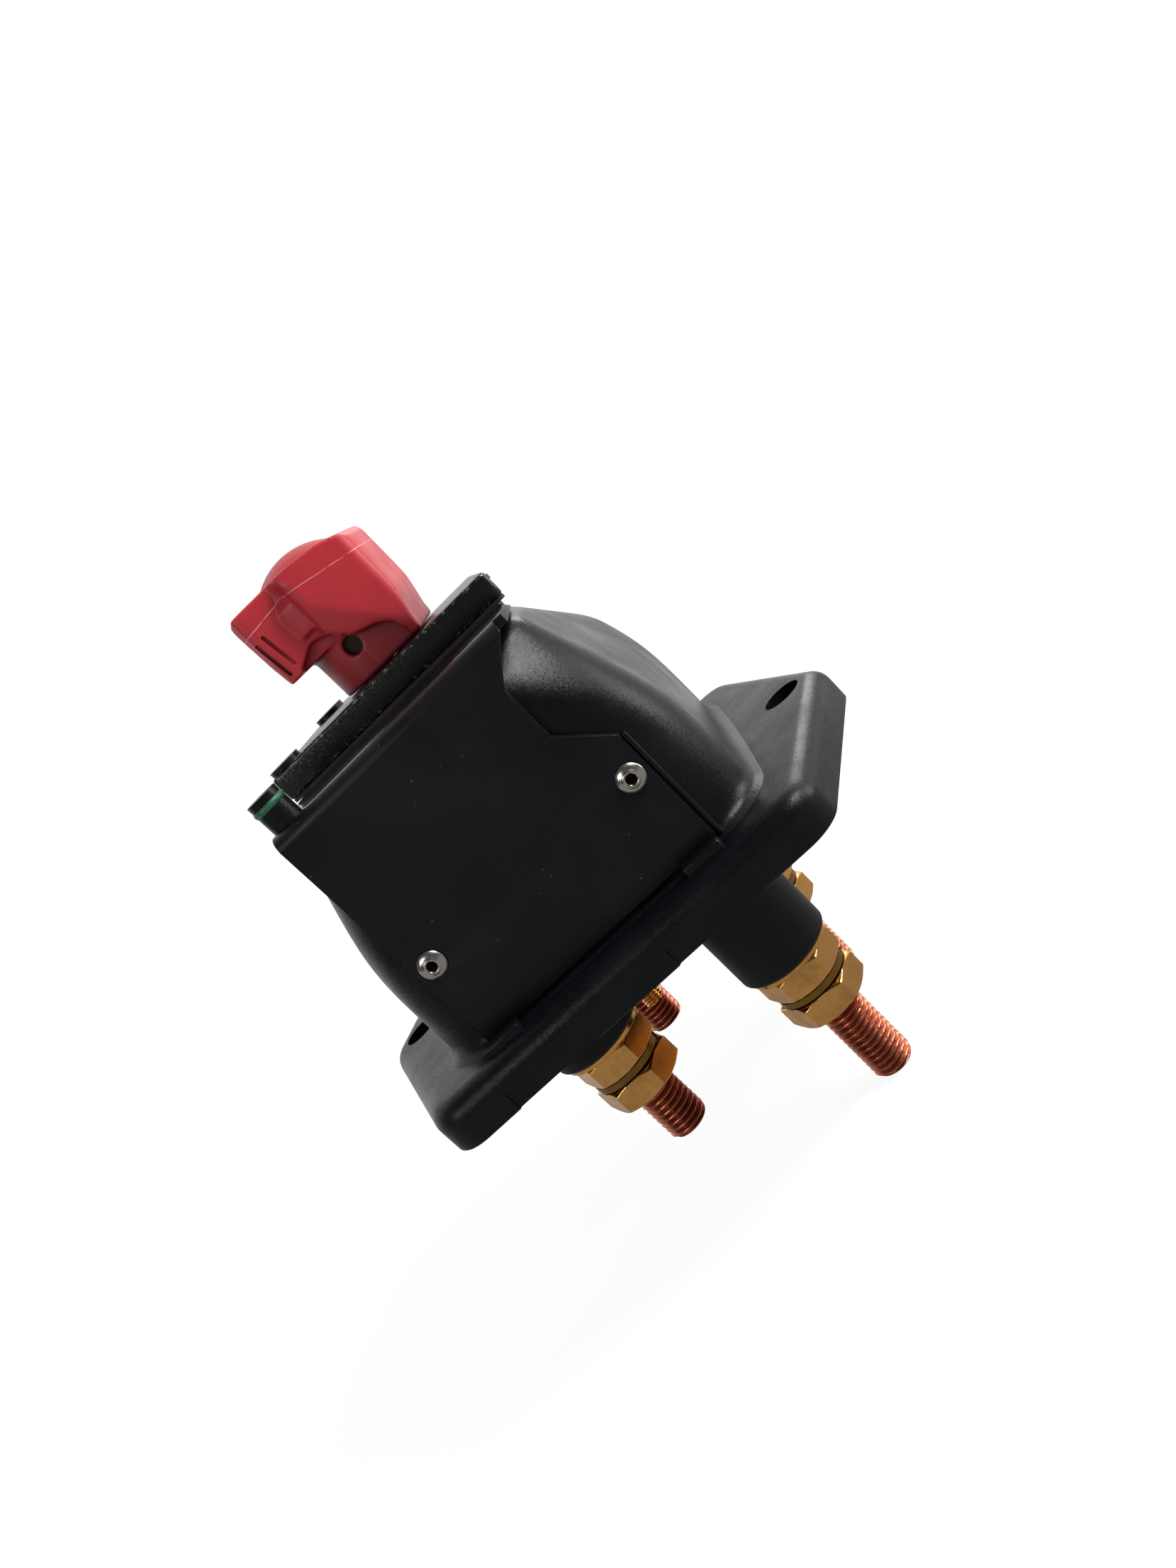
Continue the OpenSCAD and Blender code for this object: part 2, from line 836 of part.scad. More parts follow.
// Plug with a groove for its ring, standing on the bracket's corner
module seal_plug() {
    ring_r = plug_ring_d / 2;
    color([0.1, 0.1, 0.1])
    difference() {
        union() {
            translate([-plug_x, -plug_y, bracket_top])
                cylinder(d = plug_d, h = plug_h);
            translate([-plug_x, -plug_y, bracket_top - plug_shank_l])
                cylinder(d = plug_shank_d, h = plug_shank_l);
        }
        translate([-plug_x, -plug_y, plug_ring_z])
            rotate_extrude()
                translate([plug_d / 2 - ring_r * plug_neck, 0])
                    circle(ring_r + play);
    }
}

module plug_ring() {
    ring_r = plug_ring_d / 2;
    color([0.1, 0.35, 0.22])
    translate([-plug_x, -plug_y, plug_ring_z])
        rotate_extrude()
            translate([plug_d / 2 - ring_r * plug_neck, 0])
                circle(ring_r);
}

// Flanged bush pressed up into the housing's top
module shaft_bush() {
    color([0.8, 0.66, 0.35])
    difference() {
        union() {
            translate([0, 0, ceiling_z - bush_flange_t])
                cylinder(r = bush_flange_r, h = bush_flange_t);
            translate([0, 0, ceiling_z])
                cylinder(r = bush_r, h = wall - seal_t);
        }
        translate([0, 0, ceiling_z - bush_flange_t - over])
            cylinder(r = shaft_r + play, h = wall + bush_flange_t + 2 * over);
    }
}

module shaft_seal() {
    seal_wire = bush_r - shaft_r - 2 * play;
    color([0.12, 0.12, 0.12])
    translate([0, 0, body_top - seal_t / 2])
        rotate_extrude()
            translate([shaft_r + play + seal_wire / 2, 0])
                circle(d = seal_wire);
}

module thrust_washer() {
    color([0.7, 0.7, 0.72])
    translate([0, 0, thrust_z])
        ring(bush_flange_r, shaft_r + play, thrust_t);
}

// Height inside the handle, as a share of its whole height
function up(share) = handle_z + handle_h * share;

// Front outline of the handle, from its foot to its head
module handle_front() {
    w = handle_half_w;
    polygon([
        [w * 0.84, up(0)], [w * 0.86, up(0.1)], [w * 0.94, up(0.26)], [w * 0.97, up(0.33)],
        [w, up(0.68)], [w, up(0.77)], [w * 0.94, up(0.82)], [w * 0.66, up(0.87)], [0, up(0.915)],
        [-w * 0.84, up(0.915)], [-w * 0.94, up(0.885)], [-w * 0.97, up(0.84)],
        [-w * 0.96, up(0.72)], [-w * 0.94, up(0.5)], [-w * 0.9, up(0.33)], [-w * 0.86, up(0.2)],
        [-w * 0.84, up(0.1)], [-w * 0.84, up(0)]
    ]);
}

// Half of the handle seen from above: a flat panel, a crease and a block
module handle_plan_half() {
    w = handle_half_w;
    d = handle_half_d;
    polygon([
        [w, over], [w, -d * 0.6], [w * 0.97, -d * 0.73], [w * 0.9, -d * 0.8], [w * 0.06, -d],
        [-w * 0.03, -d * 0.97], [-w * 0.14, -d * 0.8], [-w * 0.26, -d * 0.74], [-w * 0.74, -d * 0.91],
        [-w * 0.84, -d * 0.9], [-w * 0.95, -d * 0.76], [-w, -d * 0.6], [-w, over]
    ]);
}

// Side outline of the handle, drawn in towards its foot
module handle_side() {
    d = handle_half_d;
    polygon([
        [-d * 0.78, up(0)], [d * 0.78, up(0)], [d, up(0.62)], [d, up(0.82)], [d * 0.93, up(0.9)],
        [d * 0.8, up(0.93)], [-d * 0.8, up(0.93)], [-d * 0.93, up(0.9)], [-d, up(0.82)], [-d, up(0.62)]
    ]);
}

// Scooped hollow below the head, open to the front
module handle_scoop() {
    w = handle_half_w;
    stem_y = handle_half_d * 0.66;
    translate([0, -stem_y, 0])
        rotate([90, 0, 0])
            linear_extrude(handle_half_d)
                polygon([
                    [w * 0.72, up(-0.1)], [w * 0.7, up(0.04)], [w * 0.63, up(0.17)],
                    [w * 0.49, up(0.23)], [w * 0.27, up(0.27)], [w * 0.06, up(0.31)],
                    [-w * 0.04, up(0.4)], [-w * 0.27, up(0.44)], [-w * 0.38, up(0.44)],
                    [-w * 0.63, up(0.37)], [-w * 0.72, up(0.32)], [-w * 1.2, up(0.3)],
                    [-w * 1.2, up(-0.1)]
                ]);
}

module handle_head() {
    reach = 2 * handle_half_d;
    intersection() {
        rotate([90, 0, 0])
            linear_extrude(2 * reach, center = true)
                handle_front();
        translate([0, 0, handle_z])
            linear_extrude(handle_h) {
                handle_plan_half();
                mirror([0, 1, 0])
                    handle_plan_half();
            }
        rotate([90, 0, 90])
            linear_extrude(2 * reach, center = true)
                handle_side();
    }
}

// Domed crown that stands out of the head
module handle_dome() {
    intersection() {
        translate([0, 0, handle_z + handle_h - handle_dome_r])
            sphere(handle_dome_r);
        translate([0, 0, up(0.5)])
            cylinder(r = handle_half_w * 0.9, h = handle_h);
    }
}

module handle() {
    color([0.7, 0.12, 0.13])
    difference() {
        union() {
            difference() {
                union() {
                    handle_head();
                    handle_dome();
                }
                handle_scoop();
                mirror([0, 1, 0])
                    handle_scoop();
            }
            translate([0, 0, handle_z])
                intersection() {
                    cylinder(r = handle_foot_r, h = handle_h * 0.5);
                    translate([-handle_half_w, -handle_half_d * 0.66, 0])
                        cube([2 * handle_half_w, handle_half_d * 1.32, handle_h]);
                }
        }
        translate([0, 0, handle_z - over])
            cylinder(r = shaft_r + play, h = shaft_end - handle_z + over + gap);
        translate([0, 0, handle_pin_z])
            rotate([90, 0, 0])
                cylinder(r = handle_pin_d / 2 + play, h = 3 * handle_half_d, center = true);
    }
}

module handle_pin() {
    color([0.75, 0.75, 0.76])
    translate([0, 0, handle_pin_z])
        rotate([90, 0, 0])
            cylinder(d = handle_pin_d, h = 2 * handle_half_d * pin_reach_share, center = true);
}

module drive_shaft() {
    color([0.7, 0.7, 0.72])
    difference() {
        translate([0, 0, rotor_bottom])
            cylinder(r = shaft_r, h = shaft_end - rotor_bottom);
        translate([0, 0, handle_pin_z])
            rotate([90, 0, 0])
                cylinder(r = handle_pin_d / 2 + play, h = 2 * shaft_d, center = true);
        translate([0, 0, cam_pin_z])
            rotate([0, 90, 0])
                cylinder(r = cam_pin_d / 2 + play, h = 2 * shaft_d, center = true);
    }
}

// Rotor hub inside the carrier's barrel, with a flange above it
module cam_rotor() {
    color([0.55, 0.55, 0.57])
    difference() {
        union() {
            translate([0, 0, rotor_bottom])
                cylinder(r = rotor_hub_r, h = rotor_top - rotor_bottom);
            translate([0, 0, rotor_top - rotor_flange_t])
                cylinder(r = rotor_flange_r, h = rotor_flange_t);
        }
        translate([0, 0, rotor_bottom - over])
            cylinder(r = shaft_r + play, h = rotor_top - rotor_bottom + 2 * over);
        translate([0, 0, cam_pin_z])
            rotate([0, 90, 0])
                cylinder(r = cam_pin_d / 2 + play, h = 4 * rotor_hub_r, center = true);
    }
}

module cam_pin() {
    color([0.75, 0.75, 0.76])
    translate([0, 0, cam_pin_z])
        rotate([0, 90, 0])
            cylinder(d = cam_pin_d, h = 2 * (barrel_r - gap), center = true);
}

// Cross pin's place in the barrel after a share of the turn, with play round it
module cam_slot_stop(share) {
    translate([0, 0, cam_pin_z + travel * share])
        rotate([0, 90, -turn * share])
            cylinder(d = cam_pin_d + 2 * cam_pin_play, h = 3 * barrel_r, center = true, $fn = hull_fn);
}

// Helical slots that turn the pin's quarter turn into the carrier's travel
module cam_slots() {
    for (step = [0 : cam_steps - 1])
        hull() {
            cam_slot_stop(step / cam_steps);
            cam_slot_stop((step + 1) / cam_steps);
        }
}

// Insulating beam with a cam barrel, guide arms and a stirrup round each bridge
module contact_carrier() {
    arm_w = 2 * rod_arm_r;
    color([0.45, 0.2, 0.12])
    difference() {
        union() {
            translate([-beam_half_w, -beam_half_l, beam_z])
                cube([2 * beam_half_w, 2 * beam_half_l, beam_t]);
            translate([-rod_x, -rod_arm_r, beam_z])
                cube([2 * rod_x, arm_w, beam_t]);
            for (x = sides)
                translate([x * rod_x, 0, beam_z])
                    cylinder(r = rod_arm_r, h = beam_t);
            translate([0, 0, beam_z])
                cylinder(r = barrel_r, h = beam_t + barrel_h);
            for (y = sides)
                translate([0, y * stud_pitch_y / 2, 0])
                    stirrup();
        }
        translate([0, 0, beam_z - over])
            cylinder(r = barrel_r - barrel_wall, h = beam_t + barrel_h + 2 * over);
        for (x = sides)
            translate([x * rod_x, 0, beam_z - over])
                cylinder(r = rod_d / 2 + play, h = beam_t + 2 * over);
        cam_slots();
    }
}

// Frame below the beam that a bridge contact passes through
module stirrup() {
    half_d = bridge_w / 2 + gap + stirrup_wall;
    low = bridge_z - gap - stirrup_floor;
    difference() {
        translate([-stirrup_half_w, -half_d, low])
            cube([2 * stirrup_half_w, 2 * half_d, beam_z - low + gap]);
        translate([-stirrup_half_w - over, -bridge_w / 2 - gap, bridge_z - gap])
            cube([2 * (stirrup_half_w + over), bridge_w + 2 * gap, beam_z - bridge_z + gap]);
    }
}

module bridge_contacts() {
    color([0.75, 0.42, 0.28])
    for (y = sides)
        translate([0, y * stud_pitch_y / 2, bridge_z])
            linear_extrude(bridge_t)
                rounded_rect(bridge_half_l, bridge_w / 2, bridge_w / 4);
}

module moving_contacts() {
    color([0.8, 0.8, 0.8])
    at_terminals(sides)
        translate([0, 0, moving_tip_z])
            cylinder(d = contact_tip_d, h = contact_tip_t);
}

// Points of one ring of a spring's wire, square to the helix
function wire_ring(r, z0, pitch, angle, wire_r, wire_sides) = [
    for (k = [0 : wire_sides - 1])
        let (a = 360 * k / wire_sides, reach = r + wire_r * cos(a))
            [reach * cos(angle), reach * sin(angle), z0 + pitch * angle / 360 + wire_r * sin(a)]
];

// Open coil spring wound as one unbroken wire from height 0 to height h
module coil_spring(r, h, wire_d, coils) {
    wire_sides = 6;
    per_coil = 12;
    rings = coils * per_coil;
    wire_r = wire_d / 2;
    pitch = (h - wire_d) / coils;
    points = [
        for (i = [0 : rings])
            each wire_ring(r, wire_r, pitch, i * 360 / per_coil, wire_r, wire_sides)
    ];
    faces = concat(
        [[for (k = [0 : wire_sides - 1]) k]],
        [for (i = [0 : rings - 1], k = [0 : wire_sides - 1])
            [i * wire_sides + k, (i + 1) * wire_sides + k, (i + 1) * wire_sides + (k + 1) % wire_sides]],
        [for (i = [0 : rings - 1], k = [0 : wire_sides - 1])
            [i * wire_sides + k, (i + 1) * wire_sides + (k + 1) % wire_sides,
             i * wire_sides + (k + 1) % wire_sides]],
        [[for (k = [0 : wire_sides - 1]) rings * wire_sides + wire_sides - 1 - k]]
    );
    polyhedron(points, faces);
}

module contact_springs() {
    color([0.7, 0.7, 0.72])
    for (y = sides)
        translate([0, y * stud_pitch_y / 2, bridge_top])
            coil_spring(bridge_spring_r, spring_room, spring_wire_d * 0.7, 3);
}

module return_springs() {
    color([0.7, 0.7, 0.72])
    for (x = sides)
        translate([x * rod_x, 0, base_top])
            coil_spring(return_spring_r, beam_z - base_top, spring_wire_d, 5);
}

housing();
base_gasket();
terminal_base();
base_screws();
long_studs();
short_studs();
fixed_contacts();
flat_washers();
inner_nuts();
spring_washers();
outer_nuts();
aux_screw();
aux_washer();
guide_rods();
cover_bracket();
bracket_rivets();
plate_gasket();
face_plate();
plate_screws();
seal_plug();
plug_ring();
shaft_bush();
shaft_seal();
thrust_washer();
handle();
handle_pin();
drive_shaft();
cam_rotor();
cam_pin();
contact_carrier();
bridge_contacts();
moving_contacts();
contact_springs();
return_springs();
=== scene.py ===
# %% [markdown]
# # A battery disconnect switch
# This notebook dresses the construction model of a two-pole battery switch.
# The construction model gives the frame: every piece made here takes its place
# from it, in metres, and rides on one of its three bodies.

# %% Load the frame
import math

import bmesh
import bpy
import numpy as np
from mathutils import Matrix, Vector


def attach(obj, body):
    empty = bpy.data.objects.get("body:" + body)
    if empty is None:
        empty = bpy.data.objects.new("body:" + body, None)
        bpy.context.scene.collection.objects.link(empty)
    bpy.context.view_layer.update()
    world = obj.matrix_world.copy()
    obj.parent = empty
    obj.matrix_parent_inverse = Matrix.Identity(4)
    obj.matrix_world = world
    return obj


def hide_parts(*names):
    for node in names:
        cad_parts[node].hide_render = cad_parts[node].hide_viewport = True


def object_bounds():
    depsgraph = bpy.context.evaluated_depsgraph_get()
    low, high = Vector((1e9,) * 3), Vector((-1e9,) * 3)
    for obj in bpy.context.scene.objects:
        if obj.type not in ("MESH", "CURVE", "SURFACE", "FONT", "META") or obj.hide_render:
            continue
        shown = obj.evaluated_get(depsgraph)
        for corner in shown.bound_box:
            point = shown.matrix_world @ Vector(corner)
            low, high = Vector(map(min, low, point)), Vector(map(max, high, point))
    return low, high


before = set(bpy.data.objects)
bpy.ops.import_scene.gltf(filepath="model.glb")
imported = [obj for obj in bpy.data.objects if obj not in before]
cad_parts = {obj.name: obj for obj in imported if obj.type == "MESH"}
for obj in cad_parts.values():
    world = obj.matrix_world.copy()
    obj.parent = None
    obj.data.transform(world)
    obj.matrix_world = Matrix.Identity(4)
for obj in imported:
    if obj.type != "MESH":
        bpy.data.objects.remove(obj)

MM = 0.001
CAD_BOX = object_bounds()

# %% [markdown]
# ## The camera
# The photo was taken from the front and slightly to the right of the switch,
# at the height of its face plate, with the camera rolled by about 45 degrees.
# The two directions below were solved from the photo: what lies to the right
# and what lies ahead in the picture; what lies down follows from them. The lens
# follows from the focal length in pixels and the picture's longer side.

# %% Camera
PHOTO_H = 2212
FOCAL_PX = 1783.2
SENSOR_MM = 36.0
CAMERA_PLACE = Vector((56.32, -271.81, 84.81)) * MM
LOOK_RIGHT = Vector((0.71723, -0.03566, -0.69592))
LOOK_AHEAD = Vector((-0.15613, 0.96508, -0.21037))


def add_camera():
    """Makes the scene's camera from its place, its right hand and its view direction."""
    data = bpy.data.cameras.new("photo_camera")
    data.sensor_fit = "AUTO"
    data.sensor_width = SENSOR_MM
    data.lens = FOCAL_PX / PHOTO_H * SENSOR_MM
    data.clip_start, data.clip_end = 0.01, 20
    camera = bpy.data.objects.new("photo_camera", data)
    bpy.context.scene.collection.objects.link(camera)
    back = -LOOK_AHEAD.normalized()
    right = (LOOK_RIGHT - LOOK_RIGHT.dot(back) * back).normalized()
    up = back.cross(right)
    turn = Matrix((right, up, back)).transposed()
    camera.matrix_world = Matrix.Translation(CAMERA_PLACE) @ turn.to_4x4()
    bpy.context.scene.camera = camera
    return camera


camera = add_camera()
print("lens", round(camera.data.lens, 2), "mm")

# %% [markdown]
# ## Colours and nodes
# Colours are written as sRGB hex, as a paint card would give them, and turned
# into Blender's linear values in one place. One helper adds a node, sets its
# values and joins its links, so that each finish reads as a list of what it does.

# %% Helpers for colours and nodes
def srgb(code):
    """Linear colour of an sRGB hex code, with no transparency."""
    parts = [int(code[i : i + 2], 16) / 255 for i in (1, 3, 5)]
    linear = [c / 12.92 if c <= 0.04045 else ((c + 0.055) / 1.055) ** 2.4 for c in parts]
    return (*linear, 1.0)


def add_node(tree, kind, values=None, links=None):
    """Adds a node, sets its properties and sockets, and links its inputs."""
    node = tree.nodes.new(kind)
    for name, value in (values or {}).items():
        if isinstance(name, int) or name in node.inputs:
            node.inputs[name].default_value = value
        else:
            setattr(node, name, value)
    for name, source in (links or {}).items():
        tree.links.new(source, node.inputs[name])
    return node


def new_material(name, values):
    """Makes a material with one shader and returns it with its tree, shader and coordinates."""
    material = bpy.data.materials.new(name)
    material.use_nodes = True
    tree = material.node_tree
    shader = tree.nodes["Principled BSDF"]
    for socket, value in values.items():
        shader.inputs[socket].default_value = value
    place = add_node(tree, "ShaderNodeTexCoord").outputs["Object"]
    return material, tree, shader, place


def ramp(tree, source, low, high, low_value, high_value):
    """Maps a value between low and high to a new range, held at its ends."""
    values = {"From Min": low, "From Max": high, "To Min": low_value, "To Max": high_value}
    return add_node(tree, "ShaderNodeMapRange", values, {"Value": source}).outputs["Result"]


def mix_colour(tree, share, first, second):
    """Mixes two colours, each given as a colour or as a socket."""
    node = add_node(tree, "ShaderNodeMix", {"data_type": "RGBA"}, {0: share})
    for index, colour in ((6, first), (7, second)):
        if isinstance(colour, tuple):
            node.inputs[index].default_value = colour
        else:
            tree.links.new(colour, node.inputs[index])
    return node.outputs[2]


def noise_at(tree, place, scale, detail=3.0, rough=0.5):
    """Noise with scale in features per metre."""
    values = {"Scale": scale, "Detail": detail, "Roughness": rough}
    return add_node(tree, "ShaderNodeTexNoise", values, {"Vector": place}).outputs[0]


def bump(tree, height, strength, distance, below=None):
    """Bump from a height, laid over another bump where one is given."""
    links = {"Height": height}
    if below is not None:
        links["Normal"] = below
    values = {"Strength": strength, "Distance": distance}
    return add_node(tree, "ShaderNodeBump", values, links).outputs["Normal"]


def math_node(tree, operation, first, second=None):
    """One step of arithmetic on sockets or numbers."""
    node = add_node(tree, "ShaderNodeMath", {"operation": operation})
    for index, value in ((0, first), (1, second)):
        if value is None:
            continue
        if isinstance(value, (int, float)):
            node.inputs[index].default_value = value
        else:
            tree.links.new(value, node.inputs[index])
    return node.outputs[0]


def vector_node(tree, operation, first, second=None):
    """One step of vector arithmetic, whose second value is a factor, a constant or a socket."""
    node = add_node(tree, "ShaderNodeVectorMath", {"operation": operation}, {0: first})
    if isinstance(second, float):
        node.inputs["Scale"].default_value = second
    elif isinstance(second, tuple):
        node.inputs[1].default_value = second
    elif second is not None:
        tree.links.new(second, node.inputs[1])
    return node.outputs["Value" if operation in ("DISTANCE", "LENGTH") else "Vector"]


print("helpers ready")

# %% [markdown]
# ## Moulded black housing
# The housing is a glass-filled thermoset. Its skin is almost black with a fine
# grain, and where the corner facets catch the light tiny flecks of filler show
# in cool and warm tones. Two scales of noise give the skin its uneven gloss,
# and a cell pattern gives the flecks.

# %% Housing moulding
FLECKS = 4600.0
FLECK_TILT = 0.12


def tilted_cells(tree, colour, tilt):
    """Normal that leans a little, each cell its own way, so that single cells glint."""
    lean = vector_node(tree, "SUBTRACT", colour, (0.5, 0.5, 0.5))
    straight = add_node(tree, "ShaderNodeNewGeometry").outputs["Normal"]
    leaning = vector_node(tree, "ADD", straight, vector_node(tree, "SCALE", lean, tilt))
    return vector_node(tree, "NORMALIZE", leaning)


def moulding_material(name, colour, gloss, fleck_share):
    """Moulded thermoset: dark, softly uneven gloss, fine grain and sparse flecks."""
    material, tree, shader, place = new_material(name, {"Specular IOR Level": 0.2})
    cloud = noise_at(tree, place, 90, 4.0)
    grain = noise_at(tree, place, 2600, 2.0, 0.6)
    cells = add_node(tree, "ShaderNodeTexVoronoi", {"Scale": FLECKS}, {"Vector": place})
    near = ramp(tree, cells.outputs["Distance"], 0.0, 0.34, fleck_share, 0.0)
    tinted = mix_colour(tree, near, srgb(colour), cells.outputs["Color"])
    pale = mix_colour(tree, ramp(tree, cloud, 0.45, 0.75, 0.0, 0.3), tinted, srgb("#12161b"))
    tree.links.new(pale, shader.inputs["Base Color"])
    rough = ramp(tree, cloud, 0.3, 0.7, gloss - 0.06, gloss + 0.08)
    tree.links.new(rough, shader.inputs["Roughness"])
    glints = tilted_cells(tree, cells.outputs["Color"], FLECK_TILT)
    tree.links.new(bump(tree, grain, 0.2, 0.0001, glints), shader.inputs["Normal"])
    return material


black_moulding = moulding_material("black thermoset moulding", "#06080b", 0.34, 0.03)
matt_moulding = moulding_material("matt black terminal moulding", "#09090a", 0.48, 0.02)
brown_moulding = moulding_material("brown phenolic carrier", "#4a2415", 0.45, 0.03)

# %% [markdown]
# ## Painted sheet, cast plate and metals
# The cover is sheet steel in satin black paint, with dust and faint rubbing.
# The face plate is a casting under a coarse sparkling coat that is worn bright
# along its edges. Brass, copper and nickel differ in colour and in how their
# machining shows.

# %% Painted sheet
def painted_sheet_material():
    """Satin black paint with cool patches, brown stains and fine dust, smoother on top."""
    values = {"Specular IOR Level": 0.25}
    material, tree, shader, place = new_material("satin black painted sheet", values)
    stain = noise_at(tree, place, 60, 5.0, 0.6)
    speck = add_node(tree, "ShaderNodeTexVoronoi", {"Scale": 420.0}, {"Vector": place})
    dust = ramp(tree, speck.outputs["Distance"], 0.03, 0.07, 0.5, 0.0)
    sparse = ramp(tree, noise_at(tree, place, 120, 2.0), 0.5, 0.62, 0.0, 1.0)
    dust = math_node(tree, "MULTIPLY", dust, sparse)
    patch = ramp(tree, noise_at(tree, place, 34, 3.0), 0.45, 0.7, 0.0, 0.5)
    cool = mix_colour(tree, patch, srgb("#08090b"), srgb("#0b0f16"))
    stained = mix_colour(tree, ramp(tree, stain, 0.5, 0.75, 0.0, 0.6), cool, srgb("#1c120d"))
    dusty = mix_colour(tree, dust, stained, srgb("#8d8b86"))
    tree.links.new(dusty, shader.inputs["Base Color"])
    facing = add_node(tree, "ShaderNodeNewGeometry").outputs["Normal"]
    upward = add_node(tree, "ShaderNodeSeparateXYZ", links={0: facing}).outputs["Z"]
    polish = ramp(tree, upward, 0.9, 0.99, 1.0, 0.4)
    rough = math_node(tree, "MULTIPLY", ramp(tree, stain, 0.3, 0.7, 0.36, 0.5), polish)
    tree.links.new(rough, shader.inputs["Roughness"])
    skin = noise_at(tree, place, 1500, 3.0)
    tree.links.new(bump(tree, skin, 0.12, 0.00008), shader.inputs["Normal"])
    return material


painted_sheet = painted_sheet_material()

# %% Cast plate and worn edges
def casting_material():
    """Coarse black coat on a casting, with pale grains painted into its colour as glints."""
    material, tree, shader, place = new_material("coarse black coated casting", {"Roughness": 0.3})
    flake = add_node(tree, "ShaderNodeTexVoronoi", {"Scale": 3400.0}, {"Vector": place})
    # Painted glints: pale grey at the cell centres stands in for the coat's sparkle.
    glint = ramp(tree, flake.outputs["Distance"], 0.0, 0.3, 0.05, 0.0)
    coat = mix_colour(tree, glint, srgb("#08080a"), srgb("#a9abb0"))
    tree.links.new(coat, shader.inputs["Base Color"])
    lumps = noise_at(tree, place, 900, 4.0, 0.65)
    leaning = tilted_cells(tree, flake.outputs["Color"], 0.13)
    tree.links.new(bump(tree, lumps, 0.3, 0.0002, leaning), shader.inputs["Normal"])
    return material


def worn_edge_material(name, coat, metal, share):
    """Edge where the coat is rubbed through to bright metal in ragged patches."""
    material, tree, shader, place = new_material(name, {"Roughness": 0.32})
    ragged = noise_at(tree, place, 900, 4.0, 0.7)
    worn = ramp(tree, ragged, 0.62 - share, 0.7 - share, 0.0, 1.0)
    tree.links.new(mix_colour(tree, worn, srgb(coat), srgb(metal)), shader.inputs["Base Color"])
    tree.links.new(ramp(tree, worn, 0.0, 1.0, 0.0, 0.7), shader.inputs["Metallic"])
    return material


plate_coat = casting_material()
plate_edge = worn_edge_material("rubbed casting edge", "#0b0b0c", "#7c7d82", 0.08)
sheet_edge = worn_edge_material("rubbed sheet edge", "#1c1c1d", "#8f8b85", 0.2)

# %% Metals
STREAKS = 400.0


def metal_material(name, colour, dull, gloss, dull_share=0.5, streak_depth=0.15):
    """Machined metal with duller patches and fine streaks."""
    material, tree, shader, place = new_material(name, {"Metallic": 1.0, "Roughness": gloss})
    patch = noise_at(tree, place, 220, 5.0, 0.65)
    share = ramp(tree, patch, 0.45, 0.75, 0.0, dull_share)
    tree.links.new(mix_colour(tree, share, srgb(colour), srgb(dull)), shader.inputs["Base Color"])
    tree.links.new(ramp(tree, patch, 0.35, 0.7, gloss - 0.05, gloss + 0.12), shader.inputs["Roughness"])
    stretch = add_node(tree, "ShaderNodeMapping", {"Scale": (1.0, 1.0, 12.0)}, {"Vector": place})
    lines = noise_at(tree, stretch.outputs[0], STREAKS, 3.0, 0.6)
    tree.links.new(bump(tree, lines, streak_depth, 0.00006), shader.inputs["Normal"])
    return material


brass = metal_material("machined brass", "#e6ab60", "#94652b", 0.19)
dark_brass = metal_material("dark spring brass", "#8f6a34", "#4a3415", 0.3)
nickel = metal_material("nickel plate", "#bcb7b0", "#9b958c", 0.24, dull_share=0.3, streak_depth=0.02)
zinc_steel = metal_material("zinc plated steel", "#bfc0c2", "#8c8d90", 0.3)
screw_steel = metal_material("darkened screw steel", "#3b3632", "#1f1915", 0.4)
silver = metal_material("silver contact alloy", "#dedcd6", "#b8b4aa", 0.28)

# %% Copper thread
STUD_PITCH_X = 41.2 * MM
STUD_PITCH_Y = 51.0 * MM
STUD_R = 5.0 * MM
THREAD_PITCH = 1.5 * MM
THREAD_DEPTH = 0.85 * MM
CREST_SKIN = 0.1 * MM


def copper_material():
    """Copper that is bright on the thread's crests, with painted shade turning it brown in its roots."""
    material, tree, shader, place = new_material("machined copper", {"Metallic": 1.0})
    flat = vector_node(tree, "MULTIPLY", vector_node(tree, "ABSOLUTE", place), (1.0, 1.0, 0.0))
    reach = vector_node(tree, "DISTANCE", flat, (STUD_PITCH_X / 2, STUD_PITCH_Y / 2, 0.0))
    # Painted shade: the thread's roots darken towards brown with their depth below the crest.
    depth = ramp(tree, reach, STUD_R - THREAD_DEPTH, STUD_R - CREST_SKIN, 1.0, 0.0)
    patch = noise_at(tree, place, 260, 5.0, 0.6)
    shade = math_node(tree, "MULTIPLY", depth, ramp(tree, patch, 0.3, 0.7, 0.55, 1.0))
    tint = mix_colour(tree, ramp(tree, patch, 0.4, 0.7, 0.0, 0.6), srgb("#c97459"), srgb("#ab593f"))
    tree.links.new(mix_colour(tree, shade, tint, srgb("#63301f")), shader.inputs["Base Color"])
    tree.links.new(ramp(tree, depth, 0.0, 1.0, 0.28, 0.5), shader.inputs["Roughness"])
    fine = noise_at(tree, place, 3000, 2.0)
    tree.links.new(bump(tree, fine, 0.2, 0.00005), shader.inputs["Normal"])
    return material


copper = copper_material()

# %% Red handle, green ring and gaskets
FLASH_Z = 100.35 * MM
FLASH_BEND_X = -3.0 * MM
FLASH_HALF_W = 0.05 * MM
FLASH_RIGHT_FALL, FLASH_LEFT_FALL = 0.2, -0.1
FLASH_WAVE = 0.5 * MM
# Reach of the ambient occlusion that paints shade into the handle's hollows.
PAINTED_SHADE_REACH = 12.0 * MM


